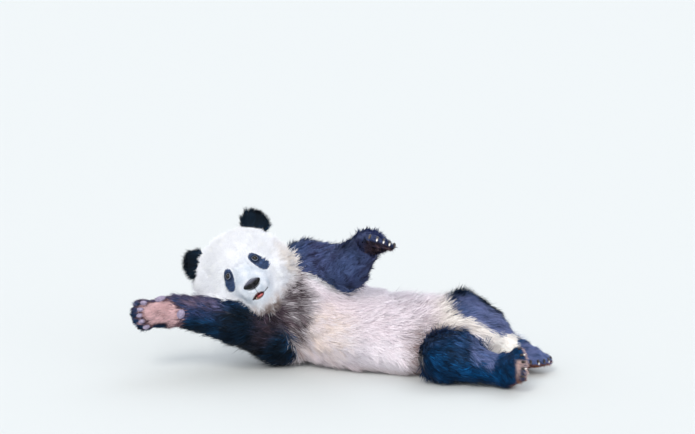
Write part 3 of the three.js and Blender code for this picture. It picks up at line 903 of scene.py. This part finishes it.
def blades(name, rings, p, n, heading, span, rise, bend, wide, colour, pull, uv_root, sunk=1.2 * mm):
    """One closed mesh of tufts, from the root, skin normal, heading, length, rise and bend of each."""
    count = len(p)
    sideways = np.cross(heading, n)
    lean_up = n - heading * 0.25
    facing = [unit(lean_up - sideways * ROUNDED), unit(lean_up + sideways * ROUNDED), unit(lean_up)]
    rows, cols, turned = [], [], []
    for s in SECTIONS[rings]:
        centre = (p - n * sunk + heading * (span * s * np.cos(rise))[:, None]
                  + n * (span * np.sin(rise) * s * (1.25 - 0.25 * s))[:, None]
                  + sideways * (span * bend * s * s)[:, None] + pull * s ** 1.3)
        centre[:, 2] -= span * 0.05 * s * s                        # the tip sags
        taper = 1 - s ** 1.7
        half = (wide * 0.5 * (0.75 + 0.5 * min(s * 2, 1)) * taper)[:, None]
        ridge = n * (wide * 0.42 * taper)[:, None]
        tinted = np.clip(colour, 0, 1) * (0.86 + 0.18 * s)         # a little darker at the root
        if s < 1:
            rows += [centre - sideways * half, centre + sideways * half, centre + ridge]
            cols += [tinted] * 3
            turned += facing
        else:
            rows.append(centre)
            cols.append(tinted)
            turned.append(facing[2])
    each = len(rows)
    co = np.stack(rows, 1).reshape(-1, 3)
    col = np.clip(np.stack(cols, 1).reshape(-1, 3), 0, 1)
    co[:, 2] = np.maximum(co[:, 2], 0.8 * mm)
    pattern = blade_faces(rings)
    faces = (pattern[None] + (np.arange(count) * each)[:, None, None]).reshape(-1, 3)

    # the sides shade as one soft coat with the skin, and the undersides face the skin
    corner_facing = np.stack(turned, 1)[:, pattern].astype(np.float32)
    underside = (pattern % 3 != 2).all(1)
    corner_facing[:, underside] = unit(heading * 0.3 - n)[:, None, None, :]

    mesh = bpy.data.meshes.new(name)
    mesh.vertices.add(len(co))
    mesh.vertices.foreach_set("co", co.astype(np.float32).ravel())
    mesh.loops.add(faces.size)
    mesh.loops.foreach_set("vertex_index", faces.astype(np.int32).ravel())
    mesh.polygons.add(len(faces))
    mesh.polygons.foreach_set("loop_start", np.arange(0, faces.size, 3, dtype=np.int32))
    mesh.update(calc_edges=True)
    mesh.shade_smooth()
    mesh.normals_split_custom_set(corner_facing.reshape(-1, 3))
    paint(mesh, col)

    # each tuft has its own small spot on the map, beside those of its neighbours on the skin
    spots = [[x, s - 0.5] for s in SECTIONS[rings][:-1] for x in (-0.5, 0.5, 0)] + [[0, 0.5]]
    uv = (uv_root[:, None, :] + np.array(spots) * 0.003).reshape(-1, 2)
    mesh.uv_layers.new(name="OFBake").data.foreach_set("uv", uv[faces.ravel()].astype(np.float32).ravel())
    print("coat", name, "tufts", count, "triangles", len(faces))
    put(name, mesh, hair_mat)


def unwrap(picked, t, w):
    """Where each root lies on an unwrap of its own stretch of skin."""
    used, inverse = np.unique(tri[picked], return_inverse=True)
    inverse = inverse.reshape(-1, 3)
    held = bpy.data.meshes.new("held")
    held.from_pydata(skin.p[used].tolist(), [], inverse.tolist())
    obj = bpy.data.objects.new("held", held)
    bpy.context.scene.collection.objects.link(obj)
    for o in bpy.context.selected_objects:
        o.select_set(False)
    bpy.context.view_layer.objects.active = obj
    obj.select_set(True)
    held.uv_layers.new(name="flat")
    bpy.ops.object.mode_set(mode="EDIT")
    bpy.ops.mesh.select_all(action="SELECT")
    bpy.ops.uv.smart_project(angle_limit=math.radians(66), island_margin=0.004)
    bpy.ops.object.mode_set(mode="OBJECT")
    flat = np.empty(len(held.loops) * 2, np.float32)
    held.uv_layers["flat"].data.foreach_get("uv", flat)
    flat = flat.reshape(-1, 3, 2)
    bpy.data.objects.remove(obj)
    bpy.data.meshes.remove(held)
    row = np.full(len(tri), -1)
    row[picked] = np.arange(len(picked))
    return np.clip(np.einsum("ij,ijk->ik", w, flat[row[t]]), 0.003, 0.997)


def labelled(*names):
    """The skin's triangles over these CAD nodes."""
    return np.isin(tri_label, [FLESH.index(n) for n in names])


head_mid = in_head(tri_mid)
nose_gap = np.linalg.norm(head_mid - NOSE, axis=1)
muzzle = labelled("head") & (nose_gap < 105 * mm)
front = labelled("head") & ~muzzle & (head_mid[:, 2] > 10 * mm)
brow = front & (head_mid[:, 1] > -28 * mm) & (np.abs(head_mid[:, 0]) < 100 * mm)
cheeks = front & ~brow
nape = labelled("head") & ~muzzle & ~front
on_trunk = labelled("trunk")
tri_x = tri_mid[:, 0]
TRUNK_PARTS = 5
cuts = np.quantile(tri_x[on_trunk], np.arange(TRUNK_PARTS + 1) / TRUNK_PARTS)

# name, where, how many tufts, how many rings each, width in mm, lift in degrees
grow_coat("coat_muzzle", muzzle, 24000, 1, 1.6, 15, clump=0.008, gather=0.05)
grow_coat("coat_brow", brow, 42000, 1, 1.9, 12, clump=0.010, gather=0.06)
grow_coat("coat_cheeks", cheeks, 13000, 2, 2.1, 14, clump=0.014, gather=0.18)
grow_coat("coat_nape", nape, 7000, 2, 2.7, 14, clump=0.016, gather=0.2)
grow_coat("coat_ears", labelled(*EARS), 11000, 1, 1.9, 18, clump=0.008, gather=0.3)
grow_coat("coat_neck", labelled("neck"), 5600, 2, 2.8, 14, clump=0.018, gather=0.25)
for k in range(TRUNK_PARTS):
    stretch = on_trunk & (tri_x >= cuts[k]) & (tri_x <= cuts[k + 1])
    grow_coat(f"coat_trunk_{k + 1}", stretch, 8900, 2, 2.9, 12, clump=0.014, gather=0.20)
for which in SIDES:
    for limb, end, leg in (("arm", "forepaw", FORELEGS[which]), ("leg", "foot", HINDLEGS[which])):
        grow_coat(f"coat_{limb}_{which}", labelled(*leg[:2]), 8200, 2, 2.9, 17, gather=0.3)
        grow_coat(f"coat_{end}_{which}", labelled(leg[2]), 8500, 1, 2.1, 20,
                  clump=0.012, gather=0.2)
grow_coat("coat_tail", labelled("tail"), 2600, 2, 2.8, 12, gather=0.25)

# ---------------------------------------------------------------- shapes swept from rings


def swept(bm, loops, ends="closed"):
    """Rings of corners joined one to the next: a circle is drawn out ring by ring. Ends are closed over,
    or joined to each other where the shape runs round into itself."""
    ring = bmesh.ops.create_circle(bm, segments=len(loops[0]), radius=1.0, cap_ends=False)["verts"]
    edges = [bm.edges.get((ring[i], ring[(i + 1) % len(ring)])) for i in range(len(ring))]
    first_edges = list(edges)
    for v, co in zip(ring, loops[0]):
        v.co = Vector(co)
    for loop in loops[1:]:
        made = bmesh.ops.extrude_edge_only(bm, edges=edges)["geom"]
        new = {g for g in made if isinstance(g, bmesh.types.BMVert)}
        ring = [next(e.other_vert(v) for e in v.link_edges if e.other_vert(v) in new) for v in ring]
        edges = [bm.edges.get((ring[i], ring[(i + 1) % len(ring)])) for i in range(len(ring))]
        for v, co in zip(ring, loop):
            v.co = Vector(co)
    if ends == "joined":
        bmesh.ops.bridge_loops(bm, edges=first_edges + edges)
    else:
        bmesh.ops.contextual_create(bm, geom=edges)
        bmesh.ops.contextual_create(bm, geom=first_edges)
    bmesh.ops.recalc_face_normals(bm, faces=bm.faces)


def finished(bm, name, finish, replaced=()):
    """A bmesh as a smooth piece of the animal."""
    mesh = bpy.data.meshes.new(name)
    bm.to_mesh(mesh)
    bm.free()
    mesh.shade_smooth()
    put(name, mesh, finish, replaced)


skin_tree = BVHTree.FromPolygons([Vector(q) for q in skin.p], tri.tolist())
OUTSIDE, INSIDE = 60 * mm, 80 * mm               # how far off the skin, and under it, onto_skin looks


def onto_skin(p, way):
    """Where a line that comes from outside against `way`, through p, first meets the skin."""
    hit = skin_tree.ray_cast(Vector(p + way * OUTSIDE), Vector(-way), OUTSIDE + INSIDE)[0]
    return np.array(hit) if hit is not None else p


# ---------------------------------------------------------------- eyes

# wet eyeball: near-black pupil, dark umber iris with faint rays, a thin cool grey white, under a tear film
eye_mat, tree, shader = material("wet_eye")
gaze = add(tree, "ShaderNodeAttribute", attribute_name="gaze")
place = add(tree, "ShaderNodeTexCoord")
rays = add(tree, "ShaderNodeTexNoise", {"Vector": place.outputs["Object"], "Scale": every(1.1 * mm)})
ramp = add(tree, "ShaderNodeValToRGB", {"Fac": gaze.outputs["Fac"]}, stops=(
    (0.0, "#020203"), (0.13, "#020202"), (0.15, "#1b110c"), (0.245, "#120b08"), (0.27, "#060505"),
    (0.31, "#646b7b"), (1.0, "#8d94a6")))
rayed = add(tree, "ShaderNodeMix", {0: rays.outputs["Fac"], 6: ramp.outputs["Color"], 7: linear("#050505")},
            data_type="RGBA", blend_type="MULTIPLY")
mixed = add(tree, "ShaderNodeMix", {0: 0.35, 6: ramp.outputs["Color"], 7: rayed.outputs[2]}, data_type="RGBA")
feed(shader, {"Base Color": mixed.outputs[2], "Roughness": 0.08, "IOR": 1.38, "Specular IOR Level": 0.1,
              "Coat Weight": 0.8, "Coat IOR": 1.5, "Coat Roughness": 0.02})

# lid rims: bare dark slate hide, with a painted pale reflection along the damp edge
lid_mat, tree, shader = material("bare_lid_hide")
place = add(tree, "ShaderNodeTexCoord")
creases = add(tree, "ShaderNodeTexNoise", {
    "Vector": place.outputs["Object"], "Scale": every(1.4 * mm), "Detail": 3.0})
ramp = add(tree, "ShaderNodeValToRGB", {"Fac": creases.outputs["Fac"]},
           stops=((0.3, "#141b26"), (0.75, "#2c3647")))
margin = add(tree, "ShaderNodeAttribute", attribute_name="margin")
edge = add(tree, "ShaderNodeMix", {0: margin.outputs["Fac"], 6: ramp.outputs["Color"], 7: linear("#a9b6cf")},
           data_type="RGBA")
bump = add(tree, "ShaderNodeBump", {"Height": creases.outputs["Fac"], "Strength": 0.4, "Distance": 0.6 * mm})
feed(shader, {"Base Color": edge.outputs[2], "Normal": bump.outputs["Normal"], "Roughness": 0.38})

EYE_R = 11.5 * mm
CORNEA_BULGE, CORNEA_WIDE = 0.06, 0.42           # of the radius, and in radians from the gaze
HALF_WIDE, HALF_TALL = 8.4 * mm, 6.6 * mm        # of the opening between the lids
TURN = np.linspace(0, 2 * math.pi, 48, endpoint=False)
LID_HAIRS = 2600


def open_height(a):
    """The height of the lids' opening round the eye, drawn in towards both corners."""
    return math.sin(a) * (1 - 0.25 * abs(math.cos(a)) ** 3)


for which, sign in (("left", 1), ("right", -1)):
    centre = eye_at[which]
    look = gaze_of(sign)
    slant = unit(np.array([sign * math.cos(PATCH_LEAN * 1.6), -math.sin(PATCH_LEAN * 1.6) * 1.2, 0])) @ HEAD
    slant = unit(slant - look * (slant @ look))
    over = np.cross(look, slant)

    # the eyeball, with its clear front standing proud, and how far each point is from the gaze
    ball = bmesh.new()
    bmesh.ops.create_uvsphere(ball, u_segments=48, v_segments=32, radius=EYE_R)
    turn = Vector(look).to_track_quat("Z", "Y").to_matrix()
    bmesh.ops.rotate(ball, verts=ball.verts, cent=(0, 0, 0), matrix=turn)
    angles = [math.acos(max(-1, min(1, v.co.normalized() @ Vector(look)))) for v in ball.verts]
    for v, angle in zip(ball.verts, angles):
        v.co = Vector(centre) + v.co * (1 + CORNEA_BULGE * math.exp(-(angle / CORNEA_WIDE) ** 4))
    gaze_layer = ball.verts.layers.float.new("gaze")
    for v, angle in zip(ball.verts, angles):
        v[gaze_layer] = angle / math.pi
    finished(ball, f"eyeball_{which}", eye_mat, [f"eye_{which}"])

    def on_ball(a, b, radius):
        """A point of a ball round the eye, a along the slant of the lids and b across it."""
        flat = slant * a + over * b
        return centre + flat + look * math.sqrt(max(radius ** 2 - flat @ flat, 0))

    # the lids: out over the ball, onto the skin round it, under the skin and back inside the ball
    rows = []
    for scale, proud in ((1.0, 0.4 * mm), (1.04, 1.0 * mm), (1.14, 1.2 * mm), (1.34, 0.9 * mm)):
        rows.append([on_ball(HALF_WIDE * scale * math.cos(a) - 1.5 * mm * max(0, -math.cos(a)) ** 5,
                             HALF_TALL * scale * open_height(a), EYE_R + proud) for a in TURN])
    for reach, sunk in ((12.8 * mm, 0.2 * mm), (15.5 * mm, 1.8 * mm), (15.0 * mm, 6.0 * mm)):
        rim_spots = [centre + slant * (reach * math.cos(a)) + over * (reach * 0.92 * math.sin(a))
                     for a in TURN]
        rows.append([onto_skin(spot, look) - look * sunk for spot in rim_spots])
    rows.append([on_ball(HALF_WIDE * 1.1 * math.cos(a), HALF_TALL * 1.1 * math.sin(a), EYE_R - 1.0 * mm)
                 for a in TURN])
    lid = bmesh.new()
    swept(lid, rows, "joined")
    margin_layer = lid.verts.layers.float.new("margin")
    lid.verts.ensure_lookup_table()
    # the painted pale reflection on the damp edge is broadest along the lower lid
    for v in lid.verts:                          # the damp margin is broadest along the lower lid
        row, spot = divmod(v.index, len(TURN))
        low = 0.5 - 0.5 * math.sin(TURN[spot]) * math.copysign(1, over[2])
        wet = (1.0, 0.7, 0.35 * low)[row] if row < 3 else 0.0
        v[margin_layer] = (0.40 + 0.6 * low) * wet
    finished(lid, f"eyelids_{which}", lid_mat)

    # short hair from just outside the bare rim, lying away from the eye
    hairs = int(LID_HAIRS * THIN)
    turns = draw.uniform(0, 2 * math.pi, hairs)
    rings_out = np.sqrt(draw.uniform(1.16 ** 2, 1.62 ** 2, hairs))
    roots = np.array([on_ball(HALF_WIDE * k * math.cos(a), HALF_TALL * k * open_height(a), EYE_R + 0.9 * mm)
                      for k, a in zip(rings_out, turns)])
    out = unit(roots - centre)
    away = roots - centre - np.outer((roots - centre) @ look, look)
    away = unit(away - out * (away * out).sum(1, keepdims=True))
    away = unit(away + np.cross(away, out) * draw.normal(0, 0.22, hairs)[:, None])
    tint = blend(np.broadcast_to(LID_HAIR, roots.shape), PATCH,
                 step(rings_out + draw.normal(0, 0.1, hairs), 1.15, 1.6))
    span = draw.uniform(3.4, 5.6, hairs) * mm
    rise = np.radians(draw.uniform(6, 20, hairs))
    bend = draw.normal(0, 0.1, hairs)
    wide = draw.uniform(0.5, 0.9, hairs) * mm
    tint = tint * draw.uniform(0.8, 1.25, hairs)[:, None]
    uv_root = np.stack([0.02 + 0.96 * turns / (2 * math.pi), rings_out - 0.9], 1)
    blades(f"coat_lids_{which}", 1, roots, out, away, span, rise, bend, wide, tint, np.zeros((hairs, 3)),
           uv_root, sunk=0.5 * mm)

# ---------------------------------------------------------------- nose

# nose leather: damp, pebbled like fine leather, so it glints in small points; a painted grey sheen on top,
# and painted shade in the nostrils and the cleft
nose_mat, tree, shader = material("wet_nose_leather")
place = add(tree, "ShaderNodeTexCoord")
cells = add(tree, "ShaderNodeTexVoronoi", {
    "Vector": place.outputs["Object"], "Scale": every(1.6 * mm)}, feature="F1")
ramp = add(tree, "ShaderNodeValToRGB", {"Fac": cells.outputs["Distance"]},
           stops=((0.0, "#2a2a33"), (0.8, "#0e0e13")))
dry = add(tree, "ShaderNodeAttribute", attribute_name="dry")
sheened = add(tree, "ShaderNodeMix", {0: dry.outputs["Fac"], 6: ramp.outputs["Color"], 7: linear("#575869")},
             data_type="RGBA")
hollow_shade = add(tree, "ShaderNodeAttribute", attribute_name="hollow_shade")
holed = add(tree, "ShaderNodeMix", {0: hollow_shade.outputs["Fac"], 6: sheened.outputs[2], 7: linear("#040405")},
            data_type="RGBA")
bump = add(tree, "ShaderNodeBump", {
    "Height": cells.outputs["Distance"], "Strength": 0.5, "Distance": 0.5 * mm}, invert=True)
feed(shader, {"Base Color": holed.outputs[2], "Normal": bump.outputs["Normal"], "Roughness": 0.26,
              "Specular IOR Level": 0.25})

NOSE_HALF = (30.5, 12.6, 18)                     # half the nose's width, height and depth, in mm
snout = bmesh.new()
bmesh.ops.create_icosphere(snout, subdivisions=6, radius=1.0)
hollow_shade_layer = snout.verts.layers.float.new("hollow_shade")
top_sheen_layer = snout.verts.layers.float.new("dry")
for v in snout.verts:
    x, y, z = (math.copysign(abs(c) ** 0.84, c) for c in v.co)      # squarer than a ball
    px = x * NOSE_HALF[0] * (1 - 0.30 * max(0, -y) ** 1.2)          # narrower below
    py = y * (NOSE_HALF[1] - 2.0 * abs(x) ** 3) + 1.0 * abs(x)      # and towards the wings
    pz = z * NOSE_HALF[2]
    pz -= 3.5 * abs(x) ** 2.5                                       # the wings fall back
    pz += 1.2 * max(0, z) * max(0, y)                               # the upper edge stands forward
    for side in (-1, 1):                         # a wide nostril each side, its tail turned out and up
        u = px * side - 16.0
        w = py + 2.6 - 0.16 * u - 0.008 * u * u
        hole = math.exp(-(abs(u) / 11.0) ** 3.4 - (abs(w) / (5.6 - 0.10 * u)) ** 3.0)
        hole *= max(0, min(1, z * 2.5))
        brim = math.exp(-(abs(u) / 12.5) ** 3 - ((w - 6.6) / 2.2) ** 2) * max(0, z)
        pz += 1.6 * brim - 10.0 * hole
        # the nostril hollow painted near black, as painted shade
        v[hollow_shade_layer] = max(v[hollow_shade_layer], min(1, hole * 2.4))
    # the cleft below the middle, sunk and darkened with painted shade
    cleft = math.exp(-(px / 1.4) ** 2) * max(0, min(1, -y * 2 + 0.3)) * max(0, z)
    pz -= 2.4 * cleft
    v[hollow_shade_layer] = max(v[hollow_shade_layer], 0.7 * cleft)
    # the top painted a paler grey, as painted sheen where it faces the sky
    v[top_sheen_layer] = 0.85 * max(0, min(1, (y - 0.22) * 2.0)) * (1 - 0.7 * abs(x) ** 3)
    v.co = Vector(from_head(NOSE + np.array([px, py, pz - 1.0]) * mm))
finished(snout, "nose_leather", nose_mat, ["nose"])

# ---------------------------------------------------------------- mouth: lips, tongue, teeth

# lip edge: bare and wet, a dull flesh pink over dark brown
lip_mat, tree, shader = material("wet_lip")
place = add(tree, "ShaderNodeTexCoord")
folds = add(tree, "ShaderNodeTexNoise", {
    "Vector": place.outputs["Object"], "Scale": every(2 * mm), "Detail": 2.0})
ramp = add(tree, "ShaderNodeValToRGB", {"Fac": folds.outputs["Fac"]},
           stops=((0.3, "#3a272c"), (0.8, "#94676b")))
bump = add(tree, "ShaderNodeBump", {"Height": folds.outputs["Fac"], "Strength": 0.5, "Distance": 1 * mm})
feed(shader, {"Base Color": ramp.outputs["Color"], "Normal": bump.outputs["Normal"], "Roughness": 0.35})

BEFORE_FACE = 112 * mm                           # where lines onto the face start, from the head's middle


def lip_point(a, grow, proud):
    """A point round the mouth's opening, grown outwards and lifted off the skin beside it."""
    grow -= 0.5 * abs(grow) * max(0, math.sin(a))
    x, y = (GAPE[0] + grow) * math.cos(a), (GAPE[1] + grow) * math.sin(a)
    spot = np.array([MOUTH[0] + x, MOUTH[1] + y + mouth_rise(x), 0])
    beside = MOUTH[:2] + (spot[:2] - MOUTH[:2]) * 1.3
    spot[2] = in_head(onto_skin(from_head([beside[0], beside[1], BEFORE_FACE]), HEAD[2]))[2] + proud
    return from_head(spot)


lip_turn = np.linspace(0, 2 * math.pi, 64, endpoint=False)
# how far each row of the lip is grown outwards and lifted, in mm
LIP_ROWS = ((1.8, -1.2), (1.0, 0.6), (0.1, 0.7), (-0.9, -0.6), (-1.1, -7.0), (1.4, -7.5))
lip = bmesh.new()
swept(lip, [[lip_point(a, grow * mm, proud * mm) for a in lip_turn] for grow, proud in LIP_ROWS], "joined")
finished(lip, "lips", lip_mat)

# tongue: wet pink muscle, dotted with fine papillae
tongue_mat, tree, shader = material("wet_tongue")
place = add(tree, "ShaderNodeTexCoord")
dots = add(tree, "ShaderNodeTexVoronoi", {"Vector": place.outputs["Object"], "Scale": every(1.25 * mm)})
ramp = add(tree, "ShaderNodeValToRGB", {"Fac": dots.outputs["Distance"]},
           stops=((0.0, "#e98f8c"), (0.8, "#cf5f63")))
bump = add(tree, "ShaderNodeBump", {
    "Height": dots.outputs["Distance"], "Strength": 0.4, "Distance": 0.6 * mm})
feed(shader, {"Base Color": ramp.outputs["Color"], "Normal": bump.outputs["Normal"], "Roughness": 0.3,
              "Coat Weight": 0.3})

muscle = bmesh.new()
bmesh.ops.create_icosphere(muscle, subdivisions=4, radius=1.0)
for v in muscle.verts:
    x, y, z = v.co
    dip = 1.8 * math.exp(-(x / 0.22) ** 2) * max(0, y)              # the groove along its middle
    v.co = Vector(from_head(TONGUE + np.array([x * 14.5, y * 6.6 - dip + 1.5, z * 38 + 1]) * mm))
finished(muscle, "tongue_muscle", tongue_mat, ["tongue"])

# teeth: ivory enamel, browner where it is stained
tooth_mat, tree, shader = material("tooth_enamel")
place = add(tree, "ShaderNodeTexCoord")
stain = add(tree, "ShaderNodeTexNoise", {"Vector": place.outputs["Object"], "Scale": every(3.3 * mm)})
ramp = add(tree, "ShaderNodeValToRGB", {"Fac": stain.outputs["Fac"]},
           stops=((0.3, "#d8b98a"), (0.7, "#f3e7cf")))
feed(shader, {"Base Color": ramp.outputs["Color"], "Roughness": 0.2})

# the lower row, each with its place from the middle, height, thickness and lean, in mm
CANINES = [(11.8, 8.4, 2.4, 0.10), (-11.8, 8.4, 2.4, 0.10)]
INCISORS = [(k * 3.1, 3.8, 1.5, 0) for k in (-2.5, -1.5, -0.5, 0.5, 1.5, 2.5)]
TOOTH_TURN = np.linspace(0, 2 * math.pi, 12, endpoint=False)
teeth = bmesh.new()
for x, tall, thick, tilt in CANINES + INCISORS:
    gum = -GAPE[1] / mm * math.sqrt(1 - (x * mm / GAPE[0]) ** 2)
    lip_spot = [MOUTH[0] + x * mm * 0.9, MOUTH[1] + (gum - 4) * mm, BEFORE_FACE]
    z = in_head(onto_skin(from_head(lip_spot), HEAD[2]))[2] - 5.0 * mm
    y = gum + mouth_rise(x * mm) / mm - 1.0
    loops = []
    for s in np.linspace(0, 1, 7):               # the canines pointed, the incisors blunt
        r = thick * (1 - s ** 2.2) ** 0.6 if tall > 5 else thick * (1 - s ** 4) ** 0.5
        r = max(r, 0.15)
        spine = np.array([x - math.copysign(tilt * tall * s * s, x), y + tall * s, 0]) * mm
        spine = MOUTH * [1, 1, 0] + spine + [0, 0, z]
        loops.append([from_head(spine + np.array([r * math.cos(a), 0, r * math.sin(a)]) * mm)
                      for a in TOOTH_TURN])
    one = bmesh.new()
    swept(one, loops)
    pour(one, teeth)
finished(teeth, "teeth", tooth_mat)

# ---------------------------------------------------------------- claws and pads


# claw: layered horn, darker and duller at the root, worn paler and glossier to the tip
def horn(name, root, tip):
    """Claw horn in the colours of its root and its tip."""
    made, tree, shader = material(name)
    along = add(tree, "ShaderNodeAttribute", attribute_name="along")
    place = add(tree, "ShaderNodeTexCoord")
    grain = add(tree, "ShaderNodeTexNoise", {
        "Vector": place.outputs["Object"], "Scale": every(2 * mm), "Detail": 3.0})
    wander = add(tree, "ShaderNodeMath", {0: grain.outputs["Fac"], 1: 0.35, 2: -0.17},
                 operation="MULTIPLY_ADD")
    total = add(tree, "ShaderNodeMath", {0: along.outputs["Fac"], 1: wander.outputs[0]}, operation="ADD")
    ramp = add(tree, "ShaderNodeValToRGB", {"Fac": total.outputs[0]}, stops=((0.40, root), (0.80, tip)))
    bump = add(tree, "ShaderNodeBump", {
        "Height": grain.outputs["Fac"], "Strength": 0.3, "Distance": 0.4 * mm})
    feed(shader, {"Base Color": ramp.outputs["Color"], "Normal": bump.outputs["Normal"], "Roughness": 0.32})
    return made


# the bared claws in pale horn whose near-white tips are a painted glint; the tucked ones in a darker copy of
# it, as painted shade
glint_horn = horn("ivory_claw_horn", "#2c2628", "#f3eee6")
shaded_horn = horn("dark_claw_horn", "#241d1e", "#57493f")
PAW_OF = {"foreleg": "forepaw", "hindleg": "hind_foot"}
CURL_OF = {"foreleg": palm_way, "hindleg": sole_way}
SHOWN, TUCKED = 0.36, 0.22       # of a claw's length; the rest lies under the toe's fur
BURIED = 0.25                    # of its length, behind the root
BARED = {"foreleg_left": "234", "hindleg_right": "24", "hindleg_left": "24"}
CLAW_TURN = np.linspace(0, 2 * math.pi, 14, endpoint=False)
for name in CLAWS:
    leg, which, number = name.removeprefix("claw_").split("_")
    spots = np.unique(points(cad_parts[name].data).round(6), axis=0)
    centre = spots.mean(0)
    axis = np.linalg.svd(spots - centre)[2][0]
    axis *= np.sign((centre - mid[f"{PAW_OF[leg]}_{which}"]) @ axis) or 1
    reach = (spots - centre) @ axis
    base, size = centre + axis * reach.min(), reach.max() - reach.min()
    curl = unit(CURL_OF[leg][which])
    curl = unit(curl - axis * (curl @ axis))
    beside = np.cross(axis, curl)
    thick = np.abs((spots - centre) @ curl).max()
    bared = number in BARED.get(f"{leg}_{which}", "")
    shown = SHOWN if bared else TUCKED
    loops = []
    for s in np.linspace(-BURIED, shown, 14):
        t = max(s, 0) / shown
        r = thick * (1 - t ** 1.8) ** 0.75 if s < shown - 0.01 else 0.02 * thick
        c = base + axis * (s * size) + curl * (0.20 * size * t * t) - curl * (0.05 * size)
        loops.append([c + (curl * math.sin(a) * 1.15 + beside * math.cos(a) * 0.85) * max(r, 0.05 * mm)
                      for a in CLAW_TURN])
    claw = bmesh.new()
    swept(claw, loops)
    along_layer = claw.verts.layers.float.new("along")
    for v in claw.verts:
        v[along_layer] = float(np.clip((np.array(v.co) - base) @ axis / (shown * size), 0, 1))
    finished(claw, name + "_horn", glint_horn if bared else shaded_horn, [name])

# pad: thick hairless skin, lilac grey and mottled, with a fine net of creases
pad_mat, tree, shader = material("pad_skin")
place = add(tree, "ShaderNodeTexCoord")
net = add(tree, "ShaderNodeTexVoronoi", {
    "Vector": place.outputs["Object"], "Scale": every(2.2 * mm)}, feature="DISTANCE_TO_EDGE")
mottle = add(tree, "ShaderNodeTexNoise", {
    "Vector": place.outputs["Object"], "Scale": every(8.3 * mm), "Detail": 3.0})
ramp = add(tree, "ShaderNodeValToRGB", {"Fac": mottle.outputs["Fac"]},
           stops=((0.3, "#776d85"), (0.7, "#9d93ad")))
bump = add(tree, "ShaderNodeBump", {"Height": net.outputs["Distance"], "Strength": 0.5, "Distance": 0.6 * mm})
feed(shader, {"Base Color": ramp.outputs["Color"], "Normal": bump.outputs["Normal"], "Roughness": 0.5})

PAD_DEPTH = 7.0 * mm
for name in PADS:                                # a domed cushion over each pad of the stretched paw
    spots = points(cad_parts[name].data)
    centre = spots.mean(0)
    out = unit(palm_way["right"])
    flatwise = spots - centre
    flatwise -= np.outer(flatwise @ out, out)
    long_way = np.linalg.svd(flatwise)[2][0]
    short_way = np.cross(out, long_way)
    top = ((spots - centre) @ out).max() - 0.5 * mm
    half_long = np.abs(flatwise @ long_way).max() + 2.6 * mm
    half_short = np.abs(flatwise @ short_way).max() + 0.6 * mm
    cushion = bmesh.new()
    bmesh.ops.create_icosphere(cushion, subdivisions=4, radius=1.0)
    for v in cushion.verts:
        x, y, z = v.co
        v.co = Vector(centre + out * (top - PAD_DEPTH) + long_way * x * half_long + short_way * y * half_short
                      + out * (z * PAD_DEPTH * (1 - 0.12 * x * x)))
    finished(cushion, name + "_skin", pad_mat, [name])

# ---------------------------------------------------------------- floor and light

floor_bm = bmesh.new()
bmesh.ops.create_grid(floor_bm, x_segments=2, y_segments=2, size=30)
floor_mesh = bpy.data.meshes.new("floor")
floor_bm.to_mesh(floor_mesh)
floor_bm.free()
floor_mat, tree, shader = material("matt_studio_floor")
feed(shader, {"Base Color": linear("#d9dddd"), "Roughness": 0.95, "Specular IOR Level": 0.1})
floor = bpy.data.objects.new("floor", floor_mesh)
floor_mesh.materials.append(floor_mat)
bpy.context.scene.collection.objects.link(floor)


def sun(name, strength, angle, towards, colour):
    """A lamp as wide as `angle` degrees, shining towards a direction."""
    lamp = bpy.data.lights.new(name, "SUN")
    lamp.energy, lamp.angle, lamp.color = strength, math.radians(angle), linear(colour)[:3]
    obj = bpy.data.objects.new(name, lamp)
    obj.rotation_euler = Vector(towards).to_track_quat("-Z", "Y").to_euler()
    bpy.context.scene.collection.objects.link(obj)


sun("key", 1.44, 22, (0.3, 0.9, -0.8), "#fffaf2")
sun("rim", 0.55, 40, (-0.5, -0.7, -1.0), "#eef4ff")
sun("fill", 0.75, 60, (-0.55, 0.75, -0.2), "#ffffff")
sun("catchlight", 0.3, 9, (0.14, 1.0, -0.45), "#ffffff")
world = bpy.data.worlds.new("studio")
world.use_nodes = True
feed(world.node_tree.nodes["Background"], {"Color": linear("#f2f5fa"), "Strength": 0.87})
bpy.context.scene.world = world
bpy.context.scene.view_settings.view_transform = "Standard"
